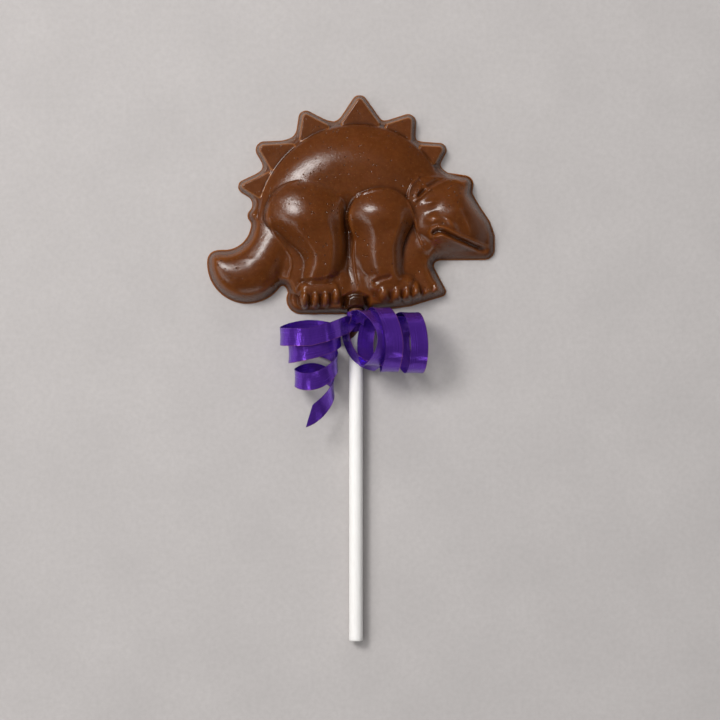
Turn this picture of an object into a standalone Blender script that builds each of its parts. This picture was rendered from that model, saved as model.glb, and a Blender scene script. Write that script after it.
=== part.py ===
"""Moulded chocolate stegosaurus on a paper stick, tied with a curled purple ribbon.

The sweet lies on its flat back. Lengths below are in millimetres, and MM turns them into metres.
The origin is on the flat back, over the axis of the stick. +Y runs from the stick to the back plates.
"""

import math

import bmesh
import bpy
import numpy as np
from mathutils import Vector
from mathutils.geometry import delaunay_2d_cdt

MM = 0.001

# Stick
STICK_DIAMETER = 3.97
STICK_LENGTH = 114.3
STICK_TOP_Y = -10.2
STICK_AXIS_Z = 2.95
STICK_EDGE = 0.35
FIT_GAP = 0.3

# Moulded chocolate
LIP = 0.35
WALL_RUN = 1.35
PLATE_TOP = 4.2
LEDGE = 0.3
WALL_SLOPE = (PLATE_TOP - LIP) / (WALL_RUN - LEDGE)
ROLL_BY_Y = ((-5.0, 2.6), (-1.0, 0.35))
ROLL_BY_X = ((25.0, 0.35), (30.0, 2.6))
SKIRT_SLOPE = 1.7
STEP_SLOPE = 2.6
SKIRT_TOP = 3.0
BACK = ((-3.1, -3.1, 25.4), (3.0, -2.0, 23.0))
BODY = ((2.4, -8.1, 31.1), (-1.1, -3.9, 27.0))
CIRCLE_BLEND = 3.0
BODY_EDGE = 4.75
BODY_RISE = 5.0
BODY_ROUNDING = 16.0
BACK_RIM = 1.3
PADDLE = (-31.0, -17.0, 11.5)
NOTCH = (-30.0, -13.1, 7.6)
TAIL_ROOT = (-20.0, 0.0, 9.0)
TAIL_NUB = (-29.2, -3.4)
TAIL_NUB_RADIUS = 1.8
HEAD_CORNERS = (
    (17.9, -13.2),
    (36.6, -13.0),
    (36.6, -9.5),
    (35.5, -6.3),
    (32.6, -1.9),
    (30.0, 2.6),
    (28.2, 3.9),
    (18.4, 1.6),
)
HEAD_ROUNDING = 3.0
FRILL = ((30.9, 5.6, 2.6), (25.6, 6.2, 2.8), (19.0, 8.0, 4.0))
SOLE = (
    (-15.6, -27.2, 4.3),
    (-5.0, -27.5, 4.0),
    (5.0, -27.0, 3.6),
    (15.0, -26.3, 3.0),
    (24.1, -25.0, 1.6),
)
FAR_LEG_EDGE = ((24.1, -25.0, 1.6), (20.4, -18.6, 1.9), (16.0, -10.0, 4.0))
FAR_FOOT_EDGE = ((10.0, -20.0, 8.0), (18.6, -22.6, 4.0))
LEGS_EDGE = ((-12.0, -24.0, 7.6), (-4.0, -22.0, 8.0), (10.0, -20.0, 8.0))
NECK_HALF_WIDTH = 2.85
NECK_TOP_Y = -20.0
NECK_END_Y = -31.3

# Ribbon
RIBBON_WIDTH = 5.1
RIBBON_THICKNESS = 0.3
PINCH = 0.4
PINCH_RUN = 4.5
END_SLANT = 0.85
SLANT_RUN = 9.0
WRAP_TOP_Y = -31.8
WRAP_LENGTH = 3.6
WRAP_THICKNESS = 0.55
KNOT_MIDDLE = (-0.5, -33.7, 6.55)
KNOT_HALF_SIZE = (1.5, 1.75, 1.15)
KNOT_SLANT = 0.3
LOWEST_RIBBON_Z = 0.35

# Mesh spacing
EDGE_STEP = 0.8
WALL_ROWS = (0.45, 0.9, 1.35, 1.85)
LINE_STEP = 0.75
FIELD_STEP = 1.2

# Back plates: the three corners of each flat top, with the radius that rounds them
PLATES = (
    (((-27.6, 2.4), (-25.0, 8.0), (-31.6, 4.9)), 0.7),
    (((-23.4, 10.6), (-18.4, 15.8), (-26.2, 15.4)), 1.1),
    (((-15.2, 18.5), (-8.6, 21.6), (-14.3, 24.5)), 0.8),
    (((-3.2, 22.5), (5.6, 22.4), (1.0, 28.8)), 0.9),
    (((9.4, 21.6), (14.6, 18.6), (14.8, 23.3)), 1.0),
    (((18.8, 15.6), (21.9, 12.0), (23.7, 15.3)), 0.8),
)

# The border of the face, and how softly its corners are rounded
FACE_SOFTNESS = 0.8
FACE_RIM = (
    (18.9, -12.6),
    (20.5, -14.9),
    (37.6, -14.7),
    (39.0, -12.4),
    (38.9, -8.0),
    (36.8, -2.0),
    (33.6, 3.4),
    (31.4, 6.0),
    (29.0, 7.3),
    (17.6, 7.3),
    (14.9, 4.6),
    (14.4, 0.8),
)

# Each near leg, as (y, x) or (y, height) from the sole up: its two sides and the round joint over them,
# the height and rise of its base, and the crest of the shin between its two shoulders
HIND_LEFT = (
    (-31.0, -19.4),
    (-21.0, -19.4),
    (-17.0, -18.2),
    (-14.0, -18.9),
    (-10.0, -22.7),
    (-4.9, -25.3),
    (0.0, -24.6),
)
HIND_RIGHT = (
    (-31.0, -3.4),
    (-22.0, -2.9),
    (-18.0, -2.4),
    (-14.0, -2.2),
    (-10.0, -2.3),
    (-4.9, -2.5),
    (0.0, -3.2),
)
HIND_JOINT = (-13.9, -4.9, 11.4)
HIND_EDGES = ((-27.0, 2.4), (-20.0, 4.3), (-15.0, 4.7), (-10.0, 5.4), (-5.0, 7.2), (0.0, 8.0), (7.0, 8.0))
HIND_RISES = ((-27.0, 0.6), (-20.0, 1.4), (-15.0, 2.6), (-10.0, 4.3), (-5.0, 4.4), (0.0, 3.7), (7.0, 3.7))
HIND_SHOULDER_LEFT = (
    (-22.0, -12.0),
    (-20.0, -11.4),
    (-17.5, -10.5),
    (-15.0, -10.5),
    (-12.0, -12.2),
    (-8.0, -14.9),
    (-3.0, -16.2),
)
HIND_SHOULDER_RIGHT = (
    (-22.0, -9.0),
    (-19.0, -8.0),
    (-15.0, -7.4),
    (-11.0, -7.4),
    (-6.0, -8.6),
    (-3.0, -9.6),
)
HIND_TOP = (
    (-25.0, 4.6),
    (-22.4, 7.6),
    (-20.0, 8.6),
    (-16.0, 9.5),
    (-12.0, 10.1),
    (-8.0, 10.5),
    (-4.0, 10.2),
    (-1.0, 8.2),
    (3.0, 3.0),
)
HIND_CREST = (HIND_SHOULDER_LEFT, HIND_SHOULDER_RIGHT, HIND_TOP, 1.25, 1.4)
FRONT_LEFT = (
    (-31.0, 1.8),
    (-22.5, 0.0),
    (-18.7, -0.8),
    (-14.5, -0.9),
    (-10.5, -0.4),
    (-5.1, -1.8),
    (0.0, 0.0),
)
FRONT_RIGHT = (
    (-31.0, 17.0),
    (-22.5, 16.6),
    (-18.7, 14.2),
    (-14.5, 13.1),
    (-10.0, 14.1),
    (-5.1, 16.3),
    (0.0, 15.0),
)
FRONT_JOINT = (7.3, -5.1, 9.2)
FRONT_EDGES = ((-27.0, 3.6), (-20.0, 4.6), (-14.0, 4.9), (-9.0, 6.3), (-5.0, 8.4), (5.0, 9.2))
FRONT_RISES = ((-27.0, 0.6), (-20.0, 2.0), (-14.0, 2.3), (-9.0, 3.3), (-5.0, 3.4), (5.0, 2.9))
FRONT_SHOULDER_LEFT = (
    (-22.0, 8.0),
    (-20.0, 7.4),
    (-17.0, 6.7),
    (-13.0, 6.4),
    (-10.0, 6.5),
    (-7.0, 5.6),
    (-3.0, 5.2),
)
FRONT_SHOULDER_RIGHT = (
    (-22.0, 11.2),
    (-19.0, 10.0),
    (-16.0, 9.8),
    (-12.0, 9.9),
    (-9.0, 10.8),
    (-6.0, 11.9),
    (-3.0, 12.2),
)
FRONT_TOP = (
    (-26.0, 4.2),
    (-22.0, 8.0),
    (-20.0, 8.9),
    (-16.0, 9.8),
    (-12.0, 10.5),
    (-8.0, 11.0),
    (-4.0, 10.9),
    (-1.0, 8.8),
    (3.0, 3.0),
)
FRONT_CREST = (FRONT_SHOULDER_LEFT, FRONT_SHOULDER_RIGHT, FRONT_TOP, 1.0, 1.9)
SHOULDER_LEFT = 4.2
SHOULDER_RIGHT = 4.0

# The feet and the far leg, as rows of circles, each with its edge height, rise, rounding and power
HIND_FOOT = ((-13.9, -24.5, 3.6), (-6.4, -24.1, 3.5))
FOOT_FORM = (3.2, 4.2, 3.4, 2.2)
FRONT_FOOT = ((6.2, -22.6, 5.2), (14.0, -23.0, 4.4))
INSTEP_FORM = (3.2, 4.3, 4.4, 2.3)
FAR_LEG = ((15.0, -13.0, 5.0), (17.4, -19.0, 5.0), (20.2, -23.4, 4.4))
FAR_LEG_FORM = (3.3, 2.7, 4.4, 2.0)

# The deep groove between the two near legs: its line, its depth up the leg and its half width
GROOVE = ((-2.4, 1.0), (-1.9, -6.0), (-1.5, -12.0), (-1.7, -18.0), (-1.2, -26.0))
GROOVE_DEPTHS = ((-26.0, 0.4), (-18.0, 1.0), (-12.0, 1.6), (-6.0, 1.8), (0.0, 0.8), (4.0, 0.0))
GROOVE_HALF_WIDTH = 2.8
STICK_COVER = 2.9

# Toes: the highest place and half width of each toe of a row, the row's height there, how far a toe
# runs from that place back to the ankle and ahead to its tip, and how full it is (0.5 is an ellipse)
HIND_TOES = (((-14.5, -26.9, 1.85), (-11.4, -27.0, 1.85), (-8.5, -26.9, 1.8), (-5.5, -26.2, 1.9)), 7.9)
FRONT_TOES = (((7.9, -25.4, 2.6), (11.6, -25.6, 2.1), (14.5, -25.6, 1.8), (17.1, -25.4, 1.75)), 8.0)
FAR_TOES = (((20.3, -25.0, 1.8), (22.7, -24.6, 1.7)), 6.0)
TOE_BEHIND = 4.2
TOE_AHEAD = 3.3
TOE_FULLNESS = 0.55

# Lines drawn in the head: the points, the height over the form round them, and the half width
EYE_LINES = (
    (((16.9, 1.4), (17.4, 2.9), (18.3, 4.2)), 0.45, 0.5),
    (((16.7, 0.3), (18.6, 1.7), (21.0, 3.7)), 0.45, 0.5),
    (((17.8, 2.0), (19.3, 3.6)), -0.6, 0.75),
    (((21.0, 3.7), (23.4, 5.1), (25.8, 6.2), (28.6, 6.7), (30.6, 6.0)), 0.35, 0.9),
    (((20.6, 4.9), (23.0, 6.4), (25.6, 7.5), (28.8, 8.0)), -0.5, 1.2),
)
# The head's crest from the nape to the beak: its ends, its height and roundness along it, and its edge
HEAD_NAPE = (17.0, -1.0)
HEAD_BEAK = (37.0, -10.0)
HEAD_CREST = ((0.0, 9.2), (0.2, 9.9), (0.35, 10.7), (0.5, 11.0), (0.7, 9.8), (1.0, 6.6))
HEAD_ROUNDNESS = ((0.0, 0.022), (0.5, 0.03), (1.0, 0.06))
HEAD_EDGE_START = (16.0, 0.0)
HEAD_EDGE_END = (36.0, -9.0)
HEAD_EDGE_HIGH = 9.0
HEAD_EDGE_LOW = 3.9
CHIN_Y = -7.0
HEAD_EDGE_CHIN = 0.3
BROW_Y = 2.0
HEAD_EDGE_BROW = 0.3
HEAD_DOME_RUN = 6.0

# Folds of the cheek: centre, half length and half width, tilt in degrees and height, each a soft swelling
FOLDS = (
    (21.4, 0.1, 2.0, 0.8, 14, 0.5),
    (21.7, -2.3, 2.2, 0.8, 12, -0.2),
    (21.8, -4.8, 2.3, 1.3, 4, 0.75),
    (26.2, -5.4, 2.0, 0.7, -42, 0.25),
    (27.2, -6.4, 2.2, 0.8, -60, 0.3),
    (31.7, -6.8, 3.0, 1.0, -65, 0.35),
    (28.6, -1.6, 2.2, 1.4, 30, 0.25),
)
MOUTH = ((22.1, -8.6), (23.2, -8.1), (24.6, -8.3), (28.8, -10.2), (32.4, -11.7), (36.0, -13.2))
UPPER_LIP = (
    (21.3, -9.9),
    (20.8, -8.7),
    (21.4, -7.5),
    (23.1, -6.8),
    (25.2, -7.3),
    (30.0, -9.7),
    (37.4, -12.3),
)
LOWER_LIP = ((22.4, -9.8), (24.6, -9.5), (27.0, -10.6), (31.6, -12.4), (35.8, -14.0))
MOUTH_LINES = ((MOUTH, -0.9, 0.95), (UPPER_LIP, 0.6, 0.7), (LOWER_LIP, 0.6, 0.6))
HEAD_SEAM = (
    (17.8, 7.2),
    (15.8, 5.0),
    (14.8, 2.6),
    (14.7, 0.6),
    (16.0, -2.4),
    (16.9, -5.0),
    (17.0, -7.0),
    (17.4, -8.8),
    (18.8, -11.9),
)
FRONT_SEAM = (
    (7.6, 3.6),
    (4.2, 3.3),
    (0.7, 2.2),
    (-1.1, -0.3),
    (-2.0, -2.8),
    (-1.5, -6.6),
    (-0.5, -11.0),
    (-0.8, -15.2),
    (-0.3, -20.0),
    (0.7, -24.7),
)
TAIL_SEAM = ((-24.9, -4.5), (-23.6, -8.3), (-20.6, -12.2), (-18.5, -15.2), (-18.2, -18.0), (-19.2, -21.5))
SEAMS = ((HEAD_SEAM, 0.45), (FRONT_SEAM, 0.35), (TAIL_SEAM, 0.3))
SEAM_HALF_WIDTH = 0.42
HEAD_LINES = EYE_LINES + MOUTH_LINES

# The jowl under the cheek: centre, half width, half length, edge height and rise
JOWL = (19.8, -11.3, 5.5, 5.3, 4.0, 3.5)

# Creases: both ankles, and the arch over the neck, each with its depth and half width
CREASES = (
    (((-15.4, -22.3), (-12.6, -22.0), (-9.9, -22.0), (-6.6, -21.1)), 0.4, 1.0),
    (((5.4, -22.5), (7.2, -21.6), (9.4, -21.0)), 0.4, 1.0),
    (((-2.2, -26.3), (-1.0, -25.8), (1.0, -25.8), (2.2, -26.3)), 0.6, 1.0),
    (((-3.3, -29.2), (-3.0, -27.2)), 2.0, 1.3),
    (((3.5, -29.2), (3.1, -27.2)), 2.0, 1.3),
)


def capsule(x, y, start, end):
    """Signed distance to the hull of two circles, each given as (x, y, radius)."""
    ax, ay, ar = start
    bx, by, br = end
    along_x = bx - ax
    along_y = by - ay
    length_squared = along_x**2 + along_y**2
    share = ((x - ax) * along_x + (y - ay) * along_y) / length_squared
    share = np.clip(share, 0.0, 1.0)
    from_axis = np.hypot(x - ax - share * along_x, y - ay - share * along_y)
    return from_axis - (ar + share * (br - ar))


def chain(x, y, circles):
    """Signed distance to a row of circles, each joined to the next."""
    pairs = zip(circles[:-1], circles[1:])
    return np.minimum.reduce([capsule(x, y, start, end) for start, end in pairs])


def polygon(x, y, corners):
    """Signed distance to a polygon, negative inside."""
    nearest = np.full(np.shape(x), np.inf)
    inside = np.zeros(np.shape(x), bool)
    for (ax, ay), (bx, by) in zip(corners, corners[1:] + corners[:1]):
        nearest = np.minimum(nearest, capsule(x, y, (ax, ay, 0.0), (bx, by, 0.0)))
        crosses = (ay > y) != (by > y)
        rise = by - ay if by != ay else 1.0
        inside ^= crosses & (x < ax + (y - ay) * (bx - ax) / rise)
    return np.where(inside, -nearest, nearest)


def soft_min(a, b, blend):
    """The smaller of two distances, with a fillet about blend wide where they cross."""
    overlap = np.maximum(blend - np.abs(a - b), 0.0) / blend
    return np.minimum(a, b) - overlap**2 * blend / 4


def soft_max(a, b, blend):
    """The larger of two heights, with a fillet about blend wide where they cross."""
    return -soft_min(-a, -b, blend)


def back_border(x, y):
    """Signed distance to the round back that the plates stand on: two great circles run together."""
    (ax, ay, ar), (bx, by, br) = BACK
    return soft_min(np.hypot(x - ax, y - ay) - ar, np.hypot(x - bx, y - by) - br, CIRCLE_BLEND)


def body_border(x, y):
    """Signed distance to the raised body inside the back, where two great circles overlap."""
    (ax, ay, ar), (bx, by, br) = BODY
    return soft_max(np.hypot(x - ax, y - ay) - ar, np.hypot(x - bx, y - by) - br, CIRCLE_BLEND)


def tail_sides(x, y):
    """Signed distances to the round paddle of the tail and to the wide notch above it."""
    paddle_x, paddle_y, paddle_radius = PADDLE
    notch_x, notch_y, corner = NOTCH
    across = np.maximum(x - notch_x + corner, 0.0)
    up = np.maximum(notch_y + corner - y, 0.0)
    paddle = np.hypot(x - paddle_x, y - paddle_y) - paddle_radius
    return paddle, np.hypot(across, up) - corner


def tail_border(x, y):
    """Signed distance to the outside edge of the tail."""
    paddle, notch = tail_sides(x, y)
    return soft_max(paddle, -notch, CIRCLE_BLEND)


def head_border(x, y):
    """Signed distance to the outside edge of the head, without the frill above it."""
    return polygon(x, y, HEAD_CORNERS) - HEAD_ROUNDING


def frill_border(x, y):
    """Signed distance to the outside edge of the frill behind the head."""
    return chain(x, y, FRILL)


def feet_border(x, y):
    """Signed distance to the outside edge of the legs and of the skirt that joins the feet."""
    edges = (SOLE, FAR_LEG_EDGE, FAR_FOOT_EDGE, LEGS_EDGE)
    return np.minimum.reduce([chain(x, y, circles) for circles in edges])


def plate_border(x, y, corners, rounding):
    """Signed distance to the edge of the flat top of one back plate."""
    return polygon(x, y, corners) - rounding


def plates_border(x, y):
    """Signed distance to the nearest edge of any plate's flat top."""
    return np.minimum.reduce([plate_border(x, y, corners, rounding) for corners, rounding in PLATES])


def silhouette(x, y):
    """Signed distance to the outside edge of the chocolate, negative inside."""
    edge = back_border(x, y) - BACK_RIM
    for corners, rounding in PLATES:
        edge = soft_min(edge, plate_border(x, y, corners, rounding) - WALL_RUN, 1.6)
    edge = soft_min(edge, np.hypot(x - TAIL_NUB[0], y - TAIL_NUB[1]) - TAIL_NUB_RADIUS, 1.2)
    edge = soft_min(edge, tail_border(x, y), 1.5)
    edge = soft_min(edge, feet_border(x, y), 1.2)
    edge = soft_min(edge, head_border(x, y), 1.2)
    edge = soft_min(edge, frill_border(x, y), 1.6)
    neck = np.maximum(np.abs(x) - NECK_HALF_WIDTH, NECK_END_Y - y)
    return soft_min(edge, np.maximum(neck, y - NECK_TOP_Y), 1.0)


def flowing(at, knots):
    """A smooth value along a line, through knots given as (place, amount) with rising places."""
    places = np.array([place for place, _ in knots])
    amounts = np.array([amount for _, amount in knots])
    slopes = np.gradient(amounts, places)
    at = np.clip(at, places[0], places[-1])
    k = np.clip(np.searchsorted(places, at) - 1, 0, len(places) - 2)
    run = places[k + 1] - places[k]
    t = (at - places[k]) / run
    start = (1 + 2 * t) * (1 - t) ** 2 * amounts[k] + t * (1 - t) ** 2 * run * slopes[k]
    end = t * t * (3 - 2 * t) * amounts[k + 1] + t * t * (t - 1) * run * slopes[k + 1]
    return start + end


def pillow(distance, edge, rise, reach, power):
    """Height of a rounded form from its signed border distance, with a steep step down outside it."""
    share = np.clip(-distance / reach, 0.0, 1.0)
    top = edge + rise * (1.0 - (1.0 - share) ** power)
    return np.where(distance > 0.0, edge - STEP_SLOPE * distance, top)


def limb(x, y, left, right, joint):
    """Share from 0 on a leg's axis to 1 at its sides, and half its width; the top is a round joint."""
    low = flowing(y, left)
    high = flowing(y, right)
    half_width = (high - low) / 2
    joint_x, joint_y, radius = joint
    above = y > joint_y
    leg = np.abs(x - (low + high) / 2) / half_width
    share = np.where(above, np.hypot(x - joint_x, y - joint_y) / radius, leg)
    return share, np.where(above, radius, half_width)


def bulge(share, half_width, edge, rise, power):
    """Height of a rounded form from its share field, with a steep step down outside it."""
    top = edge + rise * (1.0 - share**power)
    return np.where(share > 1.0, edge - STEP_SLOPE * (share - 1.0) * half_width, top)


def leg_border(x, y, left, right, joint):
    """Signed distance to the border of a leg, closed off at the sole."""
    share, half_width = limb(x, y, left, right, joint)
    return np.maximum((share - 1.0) * half_width, NECK_END_Y - y)


def face_border(x, y):
    """Signed distance to the rim of the face, a convex shape with softened corners."""
    corners = FACE_RIM
    total = 0.0
    for (ax, ay), (bx, by) in zip(corners, corners[1:] + corners[:1]):
        length = np.hypot(bx - ax, by - ay)
        outward = ((x - ax) * (by - ay) - (y - ay) * (bx - ax)) / length
        total = total + np.exp(outward / FACE_SOFTNESS)
    return FACE_SOFTNESS * np.log(total)


def stroke(x, y, points, half_width):
    """Share from 1 on a drawn line to 0 at its half width, with soft shoulders."""
    circles = [(px, py, 0.0) for px, py in points]
    share = np.clip(1.0 - chain(x, y, circles) / half_width, 0.0, 1.0)
    return share * share * (3.0 - 2.0 * share)


def swelling(x, y, middle_x, middle_y, half_length, half_width, tilt, rise):
    """A soft long swelling, or a dent where the rise is negative."""
    angle = math.radians(tilt)
    along = (x - middle_x) * math.cos(angle) + (y - middle_y) * math.sin(angle)
    aside = (y - middle_y) * math.cos(angle) - (x - middle_x) * math.sin(angle)
    return rise * np.exp(-((along / half_length) ** 2) - (aside / half_width) ** 2)


def slope_down(x, y, start, end, high, low):
    """A height that falls evenly from one place to another."""
    run_x = end[0] - start[0]
    run_y = end[1] - start[1]
    share = ((x - start[0]) * run_x + (y - start[1]) * run_y) / (run_x**2 + run_y**2)
    return high + np.clip(share, 0.0, 1.0) * (low - high)


def toe_height(x, y, centres, peak):
    """Height of a row of toes, each half an egg that stands a little sunk in the skirt."""
    best = np.zeros(np.shape(x))
    for toe_x, toe_y, half_width in centres:
        run = np.where(y > toe_y, TOE_BEHIND, TOE_AHEAD)
        radius = np.hypot((x - toe_x) / half_width, (y - toe_y) / run)
        best = np.maximum(best, np.clip(1.0 - radius**2, 0.0, 1.0) ** TOE_FULLNESS)
    low = SKIRT_TOP - 0.6
    return np.where(best > 0.0, low + (peak - low) * best, 0.0)


def face_height(x, y):
    """The head: a dome that falls away to the beak, with the eye, folds and mouth drawn in it."""
    border = face_border(x, y)
    nape_x, nape_y = HEAD_NAPE
    length_x = HEAD_BEAK[0] - nape_x
    length_y = HEAD_BEAK[1] - nape_y
    length = math.hypot(length_x, length_y)
    along = ((x - nape_x) * length_x + (y - nape_y) * length_y) / length**2
    aside = ((y - nape_y) * length_x - (x - nape_x) * length_y) / length
    dome = flowing(along, HEAD_CREST) - flowing(along, HEAD_ROUNDNESS) * (aside + 0.6) ** 2
    edge = slope_down(x, y, HEAD_EDGE_START, HEAD_EDGE_END, HEAD_EDGE_HIGH, HEAD_EDGE_LOW)
    edge = edge - HEAD_EDGE_CHIN * np.maximum(CHIN_Y - y, 0.0)
    edge = edge - HEAD_EDGE_BROW * np.maximum(y - BROW_Y, 0.0)
    share = np.clip(-border / HEAD_DOME_RUN, 0.0, 1.0)
    height = edge + (dome - edge) * (1.0 - (1.0 - share) ** 2.2)
    height = np.where(border > 0.0, edge - STEP_SLOPE * border, height)
    for points, rise, half_width in HEAD_LINES:
        height += rise * stroke(x, y, points, half_width)
    for fold in FOLDS:
        height += swelling(x, y, *fold)
    return height


def shin(x, y, left, right, top, fall_left, fall_right):
    """Height of the crest between two shoulder lines, rounding over and falling away to both sides."""
    beyond_left = np.maximum(flowing(y, left) - x, 0.0)
    beyond_right = np.maximum(x - flowing(y, right), 0.0)
    fall = fall_left * beyond_left**2 / (beyond_left + SHOULDER_LEFT)
    fall = fall + fall_right * beyond_right**2 / (beyond_right + SHOULDER_RIGHT)
    return flowing(y, top) - fall


def leg_height(x, y, sides, edges, rises, crest):
    """A near leg: its rounded base with the crest of the shin on it."""
    share, half_width = limb(x, y, *sides)
    base = bulge(share, half_width, flowing(y, edges), flowing(y, rises), 2.0)
    outside = np.maximum(share - 1.0, 0.0) * half_width
    return soft_max(base, shin(x, y, *crest) - STEP_SLOPE * outside, 1.6)


def jowl_height(x, y):
    """The round throat and jowl that bulge out under the cheek."""
    middle_x, middle_y, half_width, half_length, edge, rise = JOWL
    share = np.hypot((x - middle_x) / half_width, (y - middle_y) / half_length)
    return bulge(share, half_width, edge, rise, 2.2)


def hind_leg_height(x, y):
    """Height of the near hind leg with its foot and toes."""
    leg = leg_height(x, y, (HIND_LEFT, HIND_RIGHT, HIND_JOINT), HIND_EDGES, HIND_RISES, HIND_CREST)
    foot = pillow(chain(x, y, HIND_FOOT), *FOOT_FORM)
    return soft_max(soft_max(leg, foot, 0.6), toe_height(x, y, *HIND_TOES), 0.5)


def front_leg_height(x, y):
    """Height of the near front leg with its foot and toes."""
    leg = leg_height(x, y, (FRONT_LEFT, FRONT_RIGHT, FRONT_JOINT), FRONT_EDGES, FRONT_RISES, FRONT_CREST)
    instep = pillow(chain(x, y, FRONT_FOOT), *INSTEP_FORM)
    return soft_max(soft_max(leg, instep, 1.2), toe_height(x, y, *FRONT_TOES), 0.5)


def far_leg_height(x, y):
    """Height of the front leg of the far side, behind the near one."""
    leg = pillow(chain(x, y, FAR_LEG), *FAR_LEG_FORM)
    return soft_max(leg, toe_height(x, y, *FAR_TOES), 0.4)


def tail_height(x, y):
    """The tail: round across from the notch to its lower edge, and running up into the flank."""
    paddle, notch = tail_sides(x, y)
    root = capsule(x, y, (*PADDLE[:2], PADDLE[2]), TAIL_ROOT)
    from_notch = np.maximum(notch, 0.0)
    from_edge = np.maximum(-np.minimum(paddle, root), 0.0)
    width = np.maximum(from_notch + from_edge, 0.01)
    share = from_notch / width
    fade = flowing(y, ((-16.0, 1.0), (-8.0, 0.8), (-2.0, 0.4), (3.0, 0.0)))
    rise = 6.2 * (1.0 - np.exp(-width / 7.0)) * fade
    return 2.4 + rise * (4.0 * share * (1.0 - share)) ** 0.75


def body_height(x, y):
    """The back and belly: a broad dome that sinks between the legs."""
    border = body_border(x, y)
    sag = flowing(y, ((-20.0, -3.6), (-8.0, -3.0), (4.0, -0.9), (14.0, 0.0), (24.0, 0.0)))
    dome = pillow(border, BODY_EDGE, BODY_RISE, BODY_ROUNDING, 2.6)
    return dome + sag * np.clip(-border / 12.0, 0.0, 1.0)


def neck_height(x, y):
    """The rippled sleeve of chocolate that runs down the stick from between the feet."""
    across = np.sqrt(np.clip(1.0 - (x / (NECK_HALF_WIDTH + 0.2)) ** 2, 0.0, 1.0))
    ripple = 0.2 * np.sin((y + 0.35 * np.abs(x)) * 5.2)
    height = STICK_AXIS_Z + (NECK_HALF_WIDTH + 0.1) * across + ripple
    return np.where((y < -26.2) & (np.abs(x) < NECK_HALF_WIDTH), height, 0.0)


def depth_inside(x, y, outline):
    """True distance from each point to the nearest stretch of the closed outline."""
    starts = outline
    runs = np.roll(outline, -1, axis=0) - starts
    squared = (runs**2).sum(axis=1)
    depth = np.empty(len(x))
    for first in range(0, len(x), 4000):
        part = slice(first, first + 4000)
        dx = x[part, None] - starts[None, :, 0]
        dy = y[part, None] - starts[None, :, 1]
        share = np.clip((dx * runs[:, 0] + dy * runs[:, 1]) / squared, 0.0, 1.0)
        depth[part] = np.hypot(dx - share * runs[:, 0], dy - share * runs[:, 1]).min(axis=1)
    return depth


def relief(x, y, depth):
    """Height of the moulded face of the chocolate over its flat back."""
    height = flowing(y, ((-4.0, SKIRT_TOP), (-1.0, PLATE_TOP), (3.0, PLATE_TOP)))
    height = soft_min(height, LIP + SKIRT_SLOPE * np.maximum(depth - LEDGE, 0.0), 0.6)
    height = np.maximum(height, PLATE_TOP - WALL_SLOPE * np.maximum(plates_border(x, y), 0.0))
    nub = np.hypot(x - TAIL_NUB[0], y - TAIL_NUB[1])
    height = np.maximum(height, 4.3 - 0.35 * nub**2)
    height = np.maximum(height, body_height(x, y))
    frill = pillow(frill_border(x, y) + WALL_RUN, PLATE_TOP, 4.0, 6.0, 2.0)
    height = soft_max(height, frill, 1.6)
    height = np.where(x < -17.0, soft_max(height, tail_height(x, y), 1.0), height)
    fillet = flowing(y, ((-9.0, 0.5), (-4.0, 0.8), (2.0, 1.1)))
    height = soft_max(height, hind_leg_height(x, y), fillet)
    height = height - flowing(y, GROOVE_DEPTHS) * stroke(x, y, GROOVE, GROOVE_HALF_WIDTH)
    cover = STICK_AXIS_Z + np.sqrt(np.maximum(STICK_COVER**2 - x**2, 0.0))
    height = np.where(y < STICK_TOP_Y + 2.0, soft_max(height, cover, 0.8), height)
    height = soft_max(height, far_leg_height(x, y), 0.4)
    height = soft_max(height, front_leg_height(x, y), 0.7)
    height = soft_max(height, jowl_height(x, y), 0.5)
    brow = flowing(y, ((2.0, 0.25), (4.0, 0.5), (7.0, 0.7)))
    chin = flowing(y, ((-14.0, 2.0), (-11.0, 1.6), (-8.0, 0.25)))
    height = soft_max(height, face_height(x, y), np.maximum(brow, chin))
    for points, rise in SEAMS:
        height += rise * stroke(x, y, points, SEAM_HALF_WIDTH)
    for points, fall, half_width in CREASES:
        height -= fall * stroke(x, y, points, half_width)
    height = np.maximum(height, neck_height(x, y))
    roll = np.maximum(flowing(y, ROLL_BY_Y), flowing(x, ROLL_BY_X))
    return soft_min(height, LIP + WALL_SLOPE * np.maximum(depth - LEDGE, 0.0), roll)


def downhill(field, x, y):
    """Unit direction in which a distance field rises, from small differences."""
    step = 0.02
    gx = field(x + step, y) - field(x - step, y)
    gy = field(x, y + step) - field(x, y - step)
    size = np.maximum(np.hypot(gx, gy), 1e-9)
    return gx / size, gy / size, size / (2 * step)


def settle(field, x, y, level, rounds):
    """Points moved along the field's slope until it has the given level there."""
    for _ in range(rounds):
        nx, ny, slope = downhill(field, x, y)
        move = np.clip((field(x, y) - level) / np.maximum(slope, 0.3), -0.6, 0.6)
        x = x - nx * move
        y = y - ny * move
    return x, y


def traced(field, start, step):
    """One closed contour of a field, walked round from a point near it with even steps."""
    x, y = settle(field, np.array([start[0]]), np.array([start[1]]), 0.0, 12)
    path = [(x[0], y[0])]
    for _ in range(4000):
        nx, ny, _ = downhill(field, x, y)
        x, y = settle(field, x - ny * step, y + nx * step, 0.0, 4)
        if len(path) > 20 and math.hypot(x[0] - path[0][0], y[0] - path[0][1]) < step * 0.8:
            break
        path.append((x[0], y[0]))
    return np.array(path)


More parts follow.
